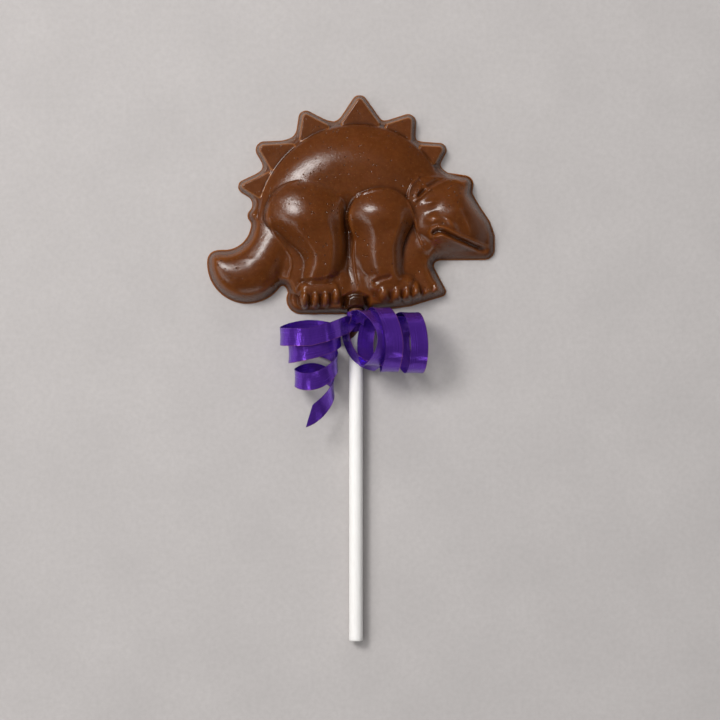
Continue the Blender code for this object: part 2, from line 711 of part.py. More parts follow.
def spaced(points, kept, least):
    """The points that lie at least this far from each other and from those kept before."""
    chosen = [tuple(point) for point in kept]
    cells = {}
    for index, (x, y) in enumerate(chosen):
        cells.setdefault((int(x // least), int(y // least)), []).append(index)
    for x, y in points:
        column = int(x // least)
        row = int(y // least)
        near = [
            chosen[index]
            for c in (column - 1, column, column + 1)
            for r in (row - 1, row, row + 1)
            for index in cells.get((c, r), ())
        ]
        if all(math.hypot(x - a, y - b) >= least for a, b in near):
            cells.setdefault((column, row), []).append(len(chosen))
            chosen.append((x, y))
    return chosen


def wall_points(outline):
    """Rows of points up the sloping wall, parallel to the outline."""
    rows = []
    for depth in WALL_ROWS:
        nx, ny, _ = downhill(silhouette, outline[:, 0], outline[:, 1])
        start_x = outline[:, 0] - nx * depth
        start_y = outline[:, 1] - ny * depth
        x, y = settle(silhouette, start_x, start_y, -depth, 6)
        good = np.abs(silhouette(x, y) + depth) < 0.04
        rows += list(zip(x[good], y[good]))
    return rows


def border_points():
    """Points on both sides of the steps where one moulded form stands over the next."""
    steps = (
        (body_border, (-3.0, 22.3)),
        (face_border, (15.0, 0.8)),
        (lambda x, y: leg_border(x, y, HIND_LEFT, HIND_RIGHT, HIND_JOINT), (-13.9, 6.7)),
        (lambda x, y: leg_border(x, y, FRONT_LEFT, FRONT_RIGHT, FRONT_JOINT), (7.3, 4.1)),
    )
    found = []
    for border, start in steps:
        line = traced(border, start, 0.85)
        for level in (0.0, 0.34):
            found += list(zip(*settle(border, line[:, 0], line[:, 1], level, 4)))
    return found


def line_points():
    """Points along the drawn lines and to both sides of them."""
    found = []
    for points, _, half_width in HEAD_LINES + CREASES:
        line = np.array(points)
        runs = np.hypot(*np.diff(line, axis=0).T)
        places = np.concatenate([[0.0], np.cumsum(runs)])
        at = np.arange(0.0, places[-1], LINE_STEP)
        x = np.interp(at, places, line[:, 0])
        y = np.interp(at, places, line[:, 1])
        along_x = np.gradient(x)
        along_y = np.gradient(y)
        size = np.hypot(along_x, along_y)
        for side in (0.0, -half_width, half_width):
            found += list(zip(x - side * along_y / size, y + side * along_x / size))
    return found


def toe_points():
    """Points on the crest of each toe and on two rings round it."""
    found = []
    for centres, _ in (HIND_TOES, FRONT_TOES, FAR_TOES):
        for x, y, half_width in centres:
            found += [(x, y - TOE_AHEAD * 0.4), (x, y), (x, y + TOE_BEHIND * 0.4)]
            for ring, count in ((0.97, 16), (0.68, 12)):
                for index in range(count):
                    angle = math.tau * (index + 0.5) / count
                    along = ring * math.sin(angle) * (TOE_BEHIND if angle < math.pi else TOE_AHEAD)
                    found.append((x + half_width * ring * math.cos(angle), y + along))
    return found


def field_points():
    """An even triangular grid over the inside of the outline."""
    row_step = FIELD_STEP * math.sqrt(3) / 2
    found = []
    for row in range(-30, 31):
        y = row * row_step
        shift = FIELD_STEP / 2 if row % 2 else 0.0
        x = np.arange(-36, 36) * FIELD_STEP + shift
        inside = silhouette(x, np.full(x.shape, y)) < -WALL_ROWS[-1] - 0.35
        found += [(value, y) for value in x[inside]]
    return found


def triangles_inside(points, outline_count):
    """Triangles between the points, inside the closed outline that comes first in them."""
    flat = [Vector((x, y)) for x, y in points]
    loop = list(range(outline_count))
    result = delaunay_2d_cdt(flat, [], [loop], 1, 1e-5)
    return [(vertex.x, vertex.y) for vertex in result[0]], result[2]


def chocolate_mesh():
    """The closed mesh of the moulded chocolate: relief on top, a thin lip round it and a flat back."""
    outline = traced(silhouette, (0.5, 31.0), EDGE_STEP)
    if np.cross(outline[0] - outline.mean(0), outline[1] - outline.mean(0)) < 0:
        outline = outline[::-1]
    count = len(outline)
    points = spaced(wall_points(outline), outline, 0.36)
    drawn = np.array(line_points() + toe_points() + border_points())
    drawn = drawn[silhouette(drawn[:, 0], drawn[:, 1]) < -WALL_ROWS[-1] - 0.2]
    points = spaced(drawn, points, 0.32)
    points = spaced(field_points(), points, 0.62 * FIELD_STEP)
    face, face_triangles = triangles_inside(points, count)
    x, y = np.array(face).T
    heights = relief(x, y, depth_inside(x, y, outline))
    model = bmesh.new()
    tops = []
    for index, ((x, y), z) in enumerate(zip(face, heights)):
        on_edge = index < count
        tops.append(model.verts.new(Vector((x, y, LIP if on_edge else max(z, LIP))) * MM))
    for corners in face_triangles:
        model.faces.new([tops[corner] for corner in corners])
    back = [model.verts.new(Vector((x, y, 0.0)) * MM) for x, y in outline]
    _, back_triangles = triangles_inside(list(map(tuple, outline)), count)
    for corners in back_triangles:
        model.faces.new([back[corner] for corner in reversed(corners)])
    for index in range(count):
        after = (index + 1) % count
        model.faces.new((back[index], back[after], tops[after], tops[index]))
    bmesh.ops.recalc_face_normals(model, faces=model.faces)
    mesh = bpy.data.meshes.new("chocolate")
    model.to_mesh(mesh)
    model.free()
    return mesh


def rod(name, radius, start_y, end_y, sides, edge):
    """A round rod along Y at the stick's height, with softly rounded ends."""
    model = bmesh.new()
    profile = [(0.0, start_y), (radius - edge, start_y), (radius, start_y - edge)]
    profile += [(radius, end_y + edge), (radius - edge, end_y), (0.0, end_y)]
    rings = []
    for ring_radius, y in profile:
        if ring_radius == 0.0:
            rings.append([model.verts.new(Vector((0.0, y, STICK_AXIS_Z)) * MM)])
            continue
        ring = []
        for side in range(sides):
            angle = math.tau * side / sides
            x = ring_radius * math.cos(angle)
            z = STICK_AXIS_Z + ring_radius * math.sin(angle)
            ring.append(model.verts.new(Vector((x, y, z)) * MM))
        rings.append(ring)
    for low, high in zip(rings[:-1], rings[1:]):
        for side in range(sides):
            after = (side + 1) % sides
            corners = [low[side % len(low)], low[after % len(low)]]
            corners += [high[after % len(high)], high[side % len(high)]]
            model.faces.new(list(dict.fromkeys(corners)))
    bmesh.ops.recalc_face_normals(model, faces=model.faces)
    mesh = bpy.data.meshes.new(name)
    model.to_mesh(mesh)
    model.free()
    return mesh


def smooth_path(stations, per_span):
    """Values between stations on a Catmull-Rom curve, each station a row of numbers."""
    rows = np.array([stations[0], *stations, stations[-1]], float)
    found = []
    for index in range(1, len(rows) - 2):
        before, here, after, beyond = rows[index - 1 : index + 3]
        for part in range(per_span):
            t = part / per_span
            found.append(
                0.5
                * (
                    2 * here
                    + (after - before) * t
                    + (2 * before - 5 * here + 4 * after - beyond) * t**2
                    + (3 * here - before - 3 * after + beyond) * t**3
                )
            )
    found.append(rows[-2])
    return np.array(found)


def pinched(run):
    """Share of the full width, this far in millimetres from the knot that gathers the ribbon."""
    share = min(run / PINCH_RUN, 1.0)
    return PINCH + (1.0 - PINCH) * share * share * (3.0 - 2.0 * share)


def half_across(side, tangent, run, total, slant):
    """Half the strip's width as a vector, leaning along the run where its cut end is slanted."""
    along = tangent / np.linalg.norm(tangent)
    side = side - along * np.dot(side, along)
    lean = slant * max(0.0, 1.0 - (total - run) / SLANT_RUN) ** 2
    return (side / np.linalg.norm(side) + along * lean) * RIBBON_WIDTH * pinched(run) / 2


def strip_mesh(name, centres, across, slant=0.0):
    """A closed thin strip along the centres, its width along the given directions."""
    model = bmesh.new()
    rings = []
    tangents = np.gradient(centres, axis=0)
    steps = np.linalg.norm(np.diff(centres, axis=0), axis=1)
    runs = np.concatenate([[0.0], np.cumsum(steps)])
    for centre, side, tangent, run in zip(centres, across, tangents, runs):
        half = half_across(side, tangent, run, runs[-1], slant)
        normal = np.cross(tangent, half)
        normal = normal / np.linalg.norm(normal)
        thick = normal * RIBBON_THICKNESS / 2
        low = centre - thick
        high = centre + thick
        corners = (low - half, low + half, high + half, high - half)
        rings.append([model.verts.new(Vector(corner) * MM) for corner in corners])
    for ring, beyond in zip(rings[:-1], rings[1:]):
        for side in range(4):
            after = (side + 1) % 4
            model.faces.new((ring[side], ring[after], beyond[after], beyond[side]))
    model.faces.new(rings[0])
    model.faces.new(rings[-1][::-1])
    bmesh.ops.triangulate(model, faces=model.faces)
    bmesh.ops.recalc_face_normals(model, faces=model.faces)
    mesh = bpy.data.meshes.new(name)
    model.to_mesh(mesh)
    model.free()
    return mesh


def left_tail():
    """The left tail: from the knot over the top of a curl that narrows as it runs down beside the stick.

    Each station is one quarter turn: centre x, radius, y along the curl, and tilt of the curl in degrees.
    """
    turns = (
        (-13.0, 8.5, -38.1, 16),
        (-12.9, 8.5, -37.8, 16),
        (-12.8, 8.5, -35.6, 18),
        (-12.6, 8.3, -38.1, 20),
        (-12.3, 7.5, -41.7, 20),
        (-12.1, 6.9, -42.9, 20),
        (-12.0, 6.8, -41.0, 20),
        (-11.8, 6.6, -45.0, 20),
        (-11.7, 6.0, -50.4, 20),
        (-11.7, 5.6, -49.5, 22),
        (-11.6, 5.4, -47.9, 22),
        (-11.6, 5.3, -52.3, 18),
        (-13.2, 5.6, -60.4, 12),
    )
    rows = smooth_path(turns, 12)
    angles = math.pi / 2 + np.arange(len(rows)) * (math.pi / 2) / 12
    tilt = np.radians(rows[:, 3])
    centre_z = rows[:, 1] + LOWEST_RIBBON_Z + RIBBON_WIDTH / 2 * np.sin(tilt)
    x = rows[:, 0] + rows[:, 1] * np.cos(angles)
    z = centre_z + rows[:, 1] * np.sin(angles)
    curl = np.stack([x, rows[:, 2], z], axis=1)
    across = np.stack([0 * tilt, -np.cos(tilt), -np.sin(tilt)], axis=1)
    lead = ((0.1, -33.8, 6.4), (-2.3, -34.5, 9.6), (-4.9, -35.6, 14.4), (-8.4, -36.9, 17.5))
    lead_rows = smooth_path((*lead, tuple(curl[0])), 8)[:-1]
    lead_across = np.linspace((0.0, -0.9, 0.1), across[0], len(lead_rows))
    return np.concatenate([lead_rows, curl]), np.concatenate([lead_across, across])


def right_tail():
    """The right tail: a curl that starts over the stick and comes down to the table.

    Each station is one quarter turn: x along the curl, centre y, centre z, radius, and tilt in degrees.
    """
    turns = (
        (2.2, -38.1, 13.3, 7.5, 34),
        (8.1, -38.1, 13.2, 7.8, 36),
        (4.2, -38.2, 13.2, 7.8, 30),
        (2.8, -38.5, 12.9, 8.4, 26),
        (6.8, -38.8, 11.7, 9.0, 22),
        (10.7, -39.0, 10.7, 8.9, 18),
        (9.4, -39.1, 10.2, 8.8, 17),
        (9.9, -39.3, 9.9, 8.7, 17),
        (15.0, -39.6, 9.5, 8.5, 16),
        (17.8, -39.7, 9.3, 8.5, 16),
        (16.3, -39.8, 9.2, 8.4, 16),
        (12.9, -39.9, 9.0, 8.2, 16),
        (14.6, -39.9, 8.9, 7.6, 16),
    )
    rows = smooth_path(turns, 12)
    angles = math.pi / 2 - np.arange(len(rows)) * (math.pi / 2) / 12
    tilt = np.radians(rows[:, 4])
    y = rows[:, 1] + rows[:, 3] * np.sin(angles)
    z = rows[:, 2] + rows[:, 3] * np.cos(angles) * np.cos(tilt)
    curl = np.stack([rows[:, 0], y, z], axis=1)
    across = np.stack([np.cos(tilt), 0 * tilt, -np.sin(tilt)], axis=1)
    lead = ((-0.9, -33.7, 6.8), (0.1, -32.8, 8.2), (1.2, -31.4, 10.8))
    lead_rows = smooth_path((*lead, tuple(curl[0])), 6)[:-1]
    lead_across = np.linspace((0.3, -0.9, 0.0), across[0], len(lead_rows))
    return np.concatenate([lead_rows, curl]), np.concatenate([lead_across, across])


def short_loop():
    """The strand that comes down in front of the stick on its edge and tucks in under the right curl."""
    stations = (
        (-0.7, -34.0, 6.7),
        (-2.4, -35.0, 7.0),
        (-2.8, -37.8, 7.2),
        (-1.8, -41.0, 7.9),
        (-0.2, -43.6, 8.0),
        (2.0, -45.3, 7.8),
        (4.0, -46.3, 6.4),
        (6.4, -46.9, 5.2),
    )
    steps = 5
    centres = smooth_path(stations, steps)
    turned = 2 * steps
    across = np.linspace((0.2, -1.0, 0.1), (0.4, 0.25, 1.0), turned)
    upright = np.linspace((0.4, 0.25, 1.0), (0.3, 0.35, 1.0), len(centres) - turned)
    across = np.concatenate([across, upright])
    return centres, across


def wrap_mesh():
    """The turn of ribbon round the stick under the knot."""
    inner = STICK_DIAMETER / 2 + FIT_GAP
    model = bmesh.new()
    rings = []
    sides = 24
    for side in range(sides):
        angle = math.tau * side / sides
        ring = []
        for radius, y in (
            (inner, WRAP_TOP_Y),
            (inner + WRAP_THICKNESS, WRAP_TOP_Y),
            (inner + WRAP_THICKNESS, WRAP_TOP_Y - WRAP_LENGTH),
            (inner, WRAP_TOP_Y - WRAP_LENGTH),
        ):
            x = radius * math.cos(angle)
            z = STICK_AXIS_Z + radius * math.sin(angle)
            ring.append(model.verts.new(Vector((x, y, z)) * MM))
        rings.append(ring)
    for side in range(sides):
        ring = rings[side]
        beyond = rings[(side + 1) % sides]
        for corner in range(4):
            after = (corner + 1) % 4
            model.faces.new((ring[corner], ring[after], beyond[after], beyond[corner]))
    bmesh.ops.recalc_face_normals(model, faces=model.faces)
    mesh = bpy.data.meshes.new("wrap")
    model.to_mesh(mesh)
    model.free()
    return mesh


def knot_mesh():
    """The small hard knot on top of the wrap."""
    model = bmesh.new()
    bmesh.ops.create_uvsphere(model, u_segments=16, v_segments=10, radius=1.0)
    middle = Vector(KNOT_MIDDLE)
    half_x, half_y, half_z = KNOT_HALF_SIZE
    for vert in model.verts:
        x, y, z = vert.co
        vert.co = (middle + Vector((half_x * x + KNOT_SLANT * y, half_y * y, half_z * z))) * MM
    mesh = bpy.data.meshes.new("knot")
    model.to_mesh(mesh)
    model.free()
    return mesh


def add_object(name, mesh):
    """Puts a mesh in the scene under its name."""
    made = bpy.data.objects.new(name, mesh)
    bpy.context.scene.collection.objects.link(made)
    return made


def add_material(made, name, colour, roughness):
    """Gives an object one plain material and soft shading up to its sharp edges."""
    material = bpy.data.materials.new(name)
    material.use_nodes = True
    shader = material.node_tree.nodes["Principled BSDF"]
    shader.inputs["Base Color"].default_value = (*colour, 1.0)
    shader.inputs["Roughness"].default_value = roughness
    shader.inputs["Metallic"].default_value = 0.0
    made.data.materials.append(material)
    made.data.shade_smooth()
    made.data.set_sharp_from_angle(angle=math.radians(40))


def add_cutter(name, mesh):
    """Adds a helper for a boolean, kept out of the rendered picture."""
    cutter = add_object(name, mesh)
    cutter.hide_render = True
    cutter.display_type = "WIRE"
    return cutter


def add_boolean(made, other, operation, solver):
    """Adds one boolean to an object."""
    modifier = made.modifiers.new(other.name, "BOOLEAN")
    modifier.operation = operation
    modifier.solver = solver
    modifier.object = other


def add_chocolate():
    """The chocolate, with the bore that the stick sits in."""
    made = add_object("chocolate", chocolate_mesh())
    add_material(made, "milk_chocolate", (0.11, 0.045, 0.02), 0.35)
    bore_radius = STICK_DIAMETER / 2 + FIT_GAP
    bore = rod("stick_bore", bore_radius, STICK_TOP_Y + FIT_GAP, NECK_END_Y - 4.0, 24, 0.2)
    add_boolean(made, add_cutter("stick_bore", bore), "DIFFERENCE", "EXACT")


def add_stick():
    """The round paper stick."""
    end_y = STICK_TOP_Y - STICK_LENGTH
    mesh = rod("stick", STICK_DIAMETER / 2, STICK_TOP_Y, end_y, 32, STICK_EDGE)
    made = add_object("stick", mesh)
    add_material(made, "white_paper", (0.82, 0.81, 0.79), 0.6)


def add_ribbon():
    """One length of ribbon: wrap, knot, both curled tails and the short loop, made one by unions."""
    made = add_object("ribbon", wrap_mesh())
    pieces = [knot_mesh(), strip_mesh("left_curl", *left_tail(), END_SLANT)]
    pieces += [strip_mesh("right_curl", *right_tail()), strip_mesh("short_loop", *short_loop())]
    for mesh in pieces:
        add_boolean(made, add_cutter(mesh.name + "_piece", mesh), "UNION", "MANIFOLD")
    add_material(made, "purple_ribbon", (0.13, 0.03, 0.32), 0.3)


def main():
    """Builds the three pieces of the sweet."""
    for old in list(bpy.data.objects):
        bpy.data.objects.remove(old)
    add_chocolate()
    add_stick()
    add_ribbon()


main()
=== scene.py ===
"""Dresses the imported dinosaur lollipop: fine chocolate, satin ribbon and paper stick, lit as in a studio.

Lengths are in millimetres, and MM turns them into metres. The forms are those of the part, drawn finer.
"""

import math

import bmesh
import bpy
import numpy as np
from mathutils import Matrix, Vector


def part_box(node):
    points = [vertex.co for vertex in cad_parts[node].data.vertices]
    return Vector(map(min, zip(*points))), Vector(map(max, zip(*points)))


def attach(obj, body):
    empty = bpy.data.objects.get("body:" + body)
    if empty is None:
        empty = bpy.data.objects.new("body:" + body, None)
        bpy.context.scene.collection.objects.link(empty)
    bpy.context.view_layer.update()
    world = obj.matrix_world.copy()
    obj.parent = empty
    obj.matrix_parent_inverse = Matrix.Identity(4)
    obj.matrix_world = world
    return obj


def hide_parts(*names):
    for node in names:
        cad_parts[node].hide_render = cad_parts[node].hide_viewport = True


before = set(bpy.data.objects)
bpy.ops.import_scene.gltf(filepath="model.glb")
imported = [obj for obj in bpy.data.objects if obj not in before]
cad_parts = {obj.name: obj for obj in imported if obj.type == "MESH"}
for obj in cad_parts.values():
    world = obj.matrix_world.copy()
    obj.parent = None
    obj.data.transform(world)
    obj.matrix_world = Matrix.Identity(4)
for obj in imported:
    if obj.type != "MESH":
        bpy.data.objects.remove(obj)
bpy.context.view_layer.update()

MM = 0.001

# Stick
STICK_DIAMETER = 3.97
STICK_LENGTH = 114.3
STICK_TOP_Y = -10.2
STICK_AXIS_Z = 2.95

# Moulded chocolate
LIP = 0.35
WALL_RUN = 1.35
PLATE_TOP = 4.2
LEDGE = 0.3
WALL_SLOPE = (PLATE_TOP - LIP) / (WALL_RUN - LEDGE)
ROLL_BY_Y = ((-5.0, 2.6), (-1.0, 0.35))
ROLL_BY_X = ((25.0, 0.35), (30.0, 2.6))
SKIRT_SLOPE = 1.7
STEP_SLOPE = 2.6
SKIRT_TOP = 3.0
BACK = ((-3.1, -3.1, 25.4), (3.0, -2.0, 23.0))
BODY = ((2.4, -8.1, 31.1), (-1.1, -3.9, 27.0))
CIRCLE_BLEND = 3.0
BODY_EDGE = 4.75
BODY_RISE = 5.0
BODY_ROUNDING = 16.0
BODY_SAG = ((-20.0, -3.6), (-8.0, -3.0), (4.0, -0.9), (14.0, 0.0), (24.0, 0.0))
SAG_RUN = 12.0
BACK_RIM = 1.3
PADDLE = (-31.0, -17.0, 11.5)
NOTCH = (-30.0, -13.1, 7.6)
TAIL_ROOT = (-20.0, 0.0, 9.0)
TAIL_FADE = ((-16.0, 1.0), (-8.0, 0.8), (-2.0, 0.4), (3.0, 0.0))
TAIL_EDGE = 2.4
TAIL_RISE = 6.2
TAIL_BROAD = 7.0
TAIL_RIGHT_X = -17.0
TAIL_NUB = (-29.2, -3.4)
TAIL_NUB_RADIUS = 1.8
TAIL_NUB_TOP = 4.3
TAIL_NUB_ROUNDNESS = 0.35
HEAD_CORNERS = (
    (17.9, -13.2), (36.6, -13.0), (36.6, -9.5), (35.5, -6.3), (32.6, -1.9), (30.0, 2.6), (28.2, 3.9),
    (18.4, 1.6),
)
HEAD_ROUNDING = 3.0
FRILL = ((30.9, 5.6, 2.6), (25.6, 6.2, 2.8), (19.0, 8.0, 4.0))
FRILL_FORM = (PLATE_TOP, 4.0, 6.0, 2.0)
FEET_EDGES = (
    ((-15.6, -27.2, 4.3), (-5.0, -27.5, 4.0), (5.0, -27.0, 3.6), (15.0, -26.3, 3.0), (24.1, -25.0, 1.6)),
    ((24.1, -25.0, 1.6), (20.4, -18.6, 1.9), (16.0, -10.0, 4.0)),
    ((10.0, -20.0, 8.0), (18.6, -22.6, 4.0)),
    ((-12.0, -24.0, 7.6), (-4.0, -22.0, 8.0), (10.0, -20.0, 8.0)),
)
NECK_HALF_WIDTH = 2.85
NECK_TOP_Y = -20.0
NECK_END_Y = -31.3
SLEEVE_TOP_Y = -26.2
RIPPLE = 0.2
RIPPLE_TURN = 5.2

# Ribbon
RIBBON_WIDTH = 5.1
PINCH = 0.4
PINCH_RUN = 4.5
END_SLANT = 0.85
SLANT_RUN = 9.0
LOWEST_RIBBON_Z = 0.35
WRAP_TURNS = 2.2
WRAP_GAP = 0.42
WRAP_GROWTH = 0.12
WRAP_Y = -33.7

# Fine meshes: their steps, their smoothing, and how hollows get painted shade and ridges a painted highlight
OUTLINE_STEP = 0.4
DEPTH_BATCH = 4000
LATTICE_STEP = 0.205
LATTICE_CORNER = (-44.0, -34.0)
LATTICE_WIDTH = 90.0
LATTICE_HEIGHT = 68.0
SMOOTHING_ROUNDS = 2
HOLLOW_ROUNDS = 60
HOLLOW_DEPTH = 0.45
# Painted shade in hollows is eased at the feet; the gain after it raises the painted highlight on ridges
HOLLOW_AT_FEET = 0.4
RIDGE_HIGHLIGHT_GAIN = 1.3
WALL_LINE_STEP = 0.36
WALL_LINE_DEPTH = 0.03
RIBBON_STEPS = 24
RIBBON_ACROSS = 8
WRAP_STEPS = 150
KNOT_STEPS = 16
FINE_HALF_THICKNESS = 0.07
CUPPING = 0.06
STICK_SIDES = 72

# The photo's frame: the point of the table at its centre, and the width it shows there
VIEW_CENTRE = (1.14, -44.55)
VIEW_WIDTH = 205.6
CAMERA_HEIGHT = 900.0
SENSOR_WIDTH = 36.0
TABLE_HALF_SIZE = 1800.0
TABLE_GAP = 0.05

# Soft boxes round one point: name, direction from it, distance, width and height, watts, colour, and
# whether the box shows in the gloss
LIGHTS_MIDDLE = (0.0, -20.0, 0.0)
WARM = (1.0, 0.985, 0.97)
COOL = (0.97, 0.98, 1.0)
LIGHTS = (
    ("overhead", (-0.2, 0.16, 0.97), 1200.0, 1250.0, 1250.0, 7.4, WARM, False),
    ("key", (-0.46, 0.385, 0.8), 1100.0, 380.0, 340.0, 7.6, WARM, True),
    ("left", (-0.74, -0.2, 0.66), 1200.0, 900.0, 170.0, 2.2, WARM, True),
    ("right", (0.8, 0.0, 0.56), 1200.0, 900.0, 110.0, 0.5, COOL, True),
    ("behind", (0.1, 0.88, 0.46), 1300.0, 900.0, 160.0, 2.2, WARM, False),
    ("front", (0.1, -0.88, 0.44), 1300.0, 900.0, 160.0, 1.1, WARM, True),
)

# Back plates: the three corners of each flat top, with the radius that rounds them
PLATES = (
    (((-27.6, 2.4), (-25.0, 8.0), (-31.6, 4.9)), 0.7),
    (((-23.4, 10.6), (-18.4, 15.8), (-26.2, 15.4)), 1.1),
    (((-15.2, 18.5), (-8.6, 21.6), (-14.3, 24.5)), 0.8),
    (((-3.2, 22.5), (5.6, 22.4), (1.0, 28.8)), 0.9),
    (((9.4, 21.6), (14.6, 18.6), (14.8, 23.3)), 1.0),
    (((18.8, 15.6), (21.9, 12.0), (23.7, 15.3)), 0.8),
)

# The border of the face, and how softly its corners are rounded
FACE_SOFTNESS = 0.8
FACE_RIM = (
    (18.9, -12.6), (20.5, -14.9), (37.6, -14.7), (39.0, -12.4), (38.9, -8.0), (36.8, -2.0), (33.6, 3.4),
    (31.4, 6.0), (29.0, 7.3), (17.6, 7.3), (14.9, 4.6), (14.4, 0.8),
)

# Each near leg, as (y, x) or (y, height) from the sole up: its two sides and the round joint over them,
# the height and rise of its base, and the crest of the shin between its two shoulders
HIND_LEFT = (
    (-31.0, -19.4), (-21.0, -19.4), (-17.0, -18.2), (-14.0, -18.9), (-10.0, -22.7), (-4.9, -25.3),
    (0.0, -24.6),
)
HIND_RIGHT = (
    (-31.0, -3.4), (-22.0, -2.9), (-18.0, -2.4), (-14.0, -2.2), (-10.0, -2.3), (-4.9, -2.5), (0.0, -3.2),
)
HIND_JOINT = (-13.9, -4.9, 11.4)
HIND_EDGES = ((-27.0, 2.4), (-20.0, 4.3), (-15.0, 4.7), (-10.0, 5.4), (-5.0, 7.2), (0.0, 8.0), (7.0, 8.0))
HIND_RISES = ((-27.0, 0.6), (-20.0, 1.4), (-15.0, 2.6), (-10.0, 4.3), (-5.0, 4.4), (0.0, 3.7), (7.0, 3.7))
HIND_SHOULDER_LEFT = (
    (-22.0, -12.0), (-20.0, -11.4), (-17.5, -10.5), (-15.0, -10.5), (-12.0, -12.2), (-8.0, -14.9),
    (-3.0, -16.2),
)
HIND_SHOULDER_RIGHT = (
    (-22.0, -9.0), (-19.0, -8.0), (-15.0, -7.4), (-11.0, -7.4), (-6.0, -8.6), (-3.0, -9.6),
)
HIND_TOP = (
    (-25.0, 4.6), (-22.4, 7.6), (-20.0, 8.6), (-16.0, 9.5), (-12.0, 10.1), (-8.0, 10.5), (-4.0, 10.2),
    (-1.0, 8.2), (3.0, 3.0),
)
HIND_CREST = (HIND_SHOULDER_LEFT, HIND_SHOULDER_RIGHT, HIND_TOP, 1.25, 1.4)
FRONT_LEFT = (
    (-31.0, 1.8), (-22.5, 0.0), (-18.7, -0.8), (-14.5, -0.9), (-10.5, -0.4), (-5.1, -1.8), (0.0, 0.0),
)
FRONT_RIGHT = (
    (-31.0, 17.0), (-22.5, 16.6), (-18.7, 14.2), (-14.5, 13.1), (-10.0, 14.1), (-5.1, 16.3), (0.0, 15.0),
)
FRONT_JOINT = (7.3, -5.1, 9.2)
FRONT_EDGES = ((-27.0, 3.6), (-20.0, 4.6), (-14.0, 4.9), (-9.0, 6.3), (-5.0, 8.4), (5.0, 9.2))
FRONT_RISES = ((-27.0, 0.6), (-20.0, 2.0), (-14.0, 2.3), (-9.0, 3.3), (-5.0, 3.4), (5.0, 2.9))
FRONT_SHOULDER_LEFT = (
    (-22.0, 8.0), (-20.0, 7.4), (-17.0, 6.7), (-13.0, 6.4), (-10.0, 6.5), (-7.0, 5.6), (-3.0, 5.2),
)
FRONT_SHOULDER_RIGHT = (
    (-22.0, 11.2), (-19.0, 10.0), (-16.0, 9.8), (-12.0, 9.9), (-9.0, 10.8), (-6.0, 11.9), (-3.0, 12.2),
)
FRONT_TOP = (
    (-26.0, 4.2), (-22.0, 8.0), (-20.0, 8.9), (-16.0, 9.8), (-12.0, 10.5), (-8.0, 11.0), (-4.0, 10.9),
    (-1.0, 8.8), (3.0, 3.0),
)
FRONT_CREST = (FRONT_SHOULDER_LEFT, FRONT_SHOULDER_RIGHT, FRONT_TOP, 1.0, 1.9)
SHOULDER_LEFT = 4.2
SHOULDER_RIGHT = 4.0

# The feet and the far leg, as rows of circles, each with its edge height, rise, rounding and power
HIND_FOOT = ((-13.9, -24.5, 3.6), (-6.4, -24.1, 3.5))
FOOT_FORM = (3.2, 4.2, 3.4, 2.2)
FRONT_FOOT = ((6.2, -22.6, 5.2), (14.0, -23.0, 4.4))
INSTEP_FORM = (3.2, 4.3, 4.4, 2.3)
FAR_LEG = ((15.0, -13.0, 5.0), (17.4, -19.0, 5.0), (20.2, -23.4, 4.4))
FAR_LEG_FORM = (3.3, 2.7, 4.4, 2.0)

# The deep groove between the two near legs: its line, its depth up the leg and its half width
GROOVE = ((-2.4, 1.0), (-1.9, -6.0), (-1.5, -12.0), (-1.7, -18.0), (-1.2, -26.0))
GROOVE_DEPTHS = ((-26.0, 0.4), (-18.0, 1.0), (-12.0, 1.6), (-6.0, 1.8), (0.0, 0.8), (4.0, 0.0))
GROOVE_HALF_WIDTH = 2.8
STICK_COVER = 2.9

# Toes: the highest place and half width of each toe of a row, the row's height there, how far a toe
# runs from that place back to the ankle and ahead to its tip, and how full it is (0.5 is an ellipse)
HIND_TOES = (((-14.5, -26.9, 1.85), (-11.4, -27.0, 1.85), (-8.5, -26.9, 1.8), (-5.5, -26.2, 1.9)), 7.9)
FRONT_TOES = (((7.9, -25.4, 2.6), (11.6, -25.6, 2.1), (14.5, -25.6, 1.8), (17.1, -25.4, 1.75)), 8.0)
FAR_TOES = (((20.3, -25.0, 1.8), (22.7, -24.6, 1.7)), 6.0)
TOE_BEHIND = 4.2
TOE_AHEAD = 3.3
TOE_FULLNESS = 0.55
TOE_SINK = 0.6

# Each near leg whole: its sides and joint, its base, its crest, its foot, how softly the foot joins, its toes
HIND_LEG = (
    (HIND_LEFT, HIND_RIGHT, HIND_JOINT), HIND_EDGES, HIND_RISES, HIND_CREST,
    HIND_FOOT, FOOT_FORM, 0.6, HIND_TOES,
)
FRONT_LEG = (
    (FRONT_LEFT, FRONT_RIGHT, FRONT_JOINT), FRONT_EDGES, FRONT_RISES, FRONT_CREST,
    FRONT_FOOT, INSTEP_FORM, 1.2, FRONT_TOES,
)

# Lines drawn in the head: the points, the height over the form round them, and the half width
EYE_LINES = (
    (((16.9, 1.4), (17.4, 2.9), (18.3, 4.2)), 0.45, 0.5),
    (((16.7, 0.3), (18.6, 1.7), (21.0, 3.7)), 0.45, 0.5),
    (((17.8, 2.0), (19.3, 3.6)), -0.6, 0.75),
    (((21.0, 3.7), (23.4, 5.1), (25.8, 6.2), (28.6, 6.7), (30.6, 6.0)), 0.35, 0.9),
    (((20.6, 4.9), (23.0, 6.4), (25.6, 7.5), (28.8, 8.0)), -0.5, 1.2),
)
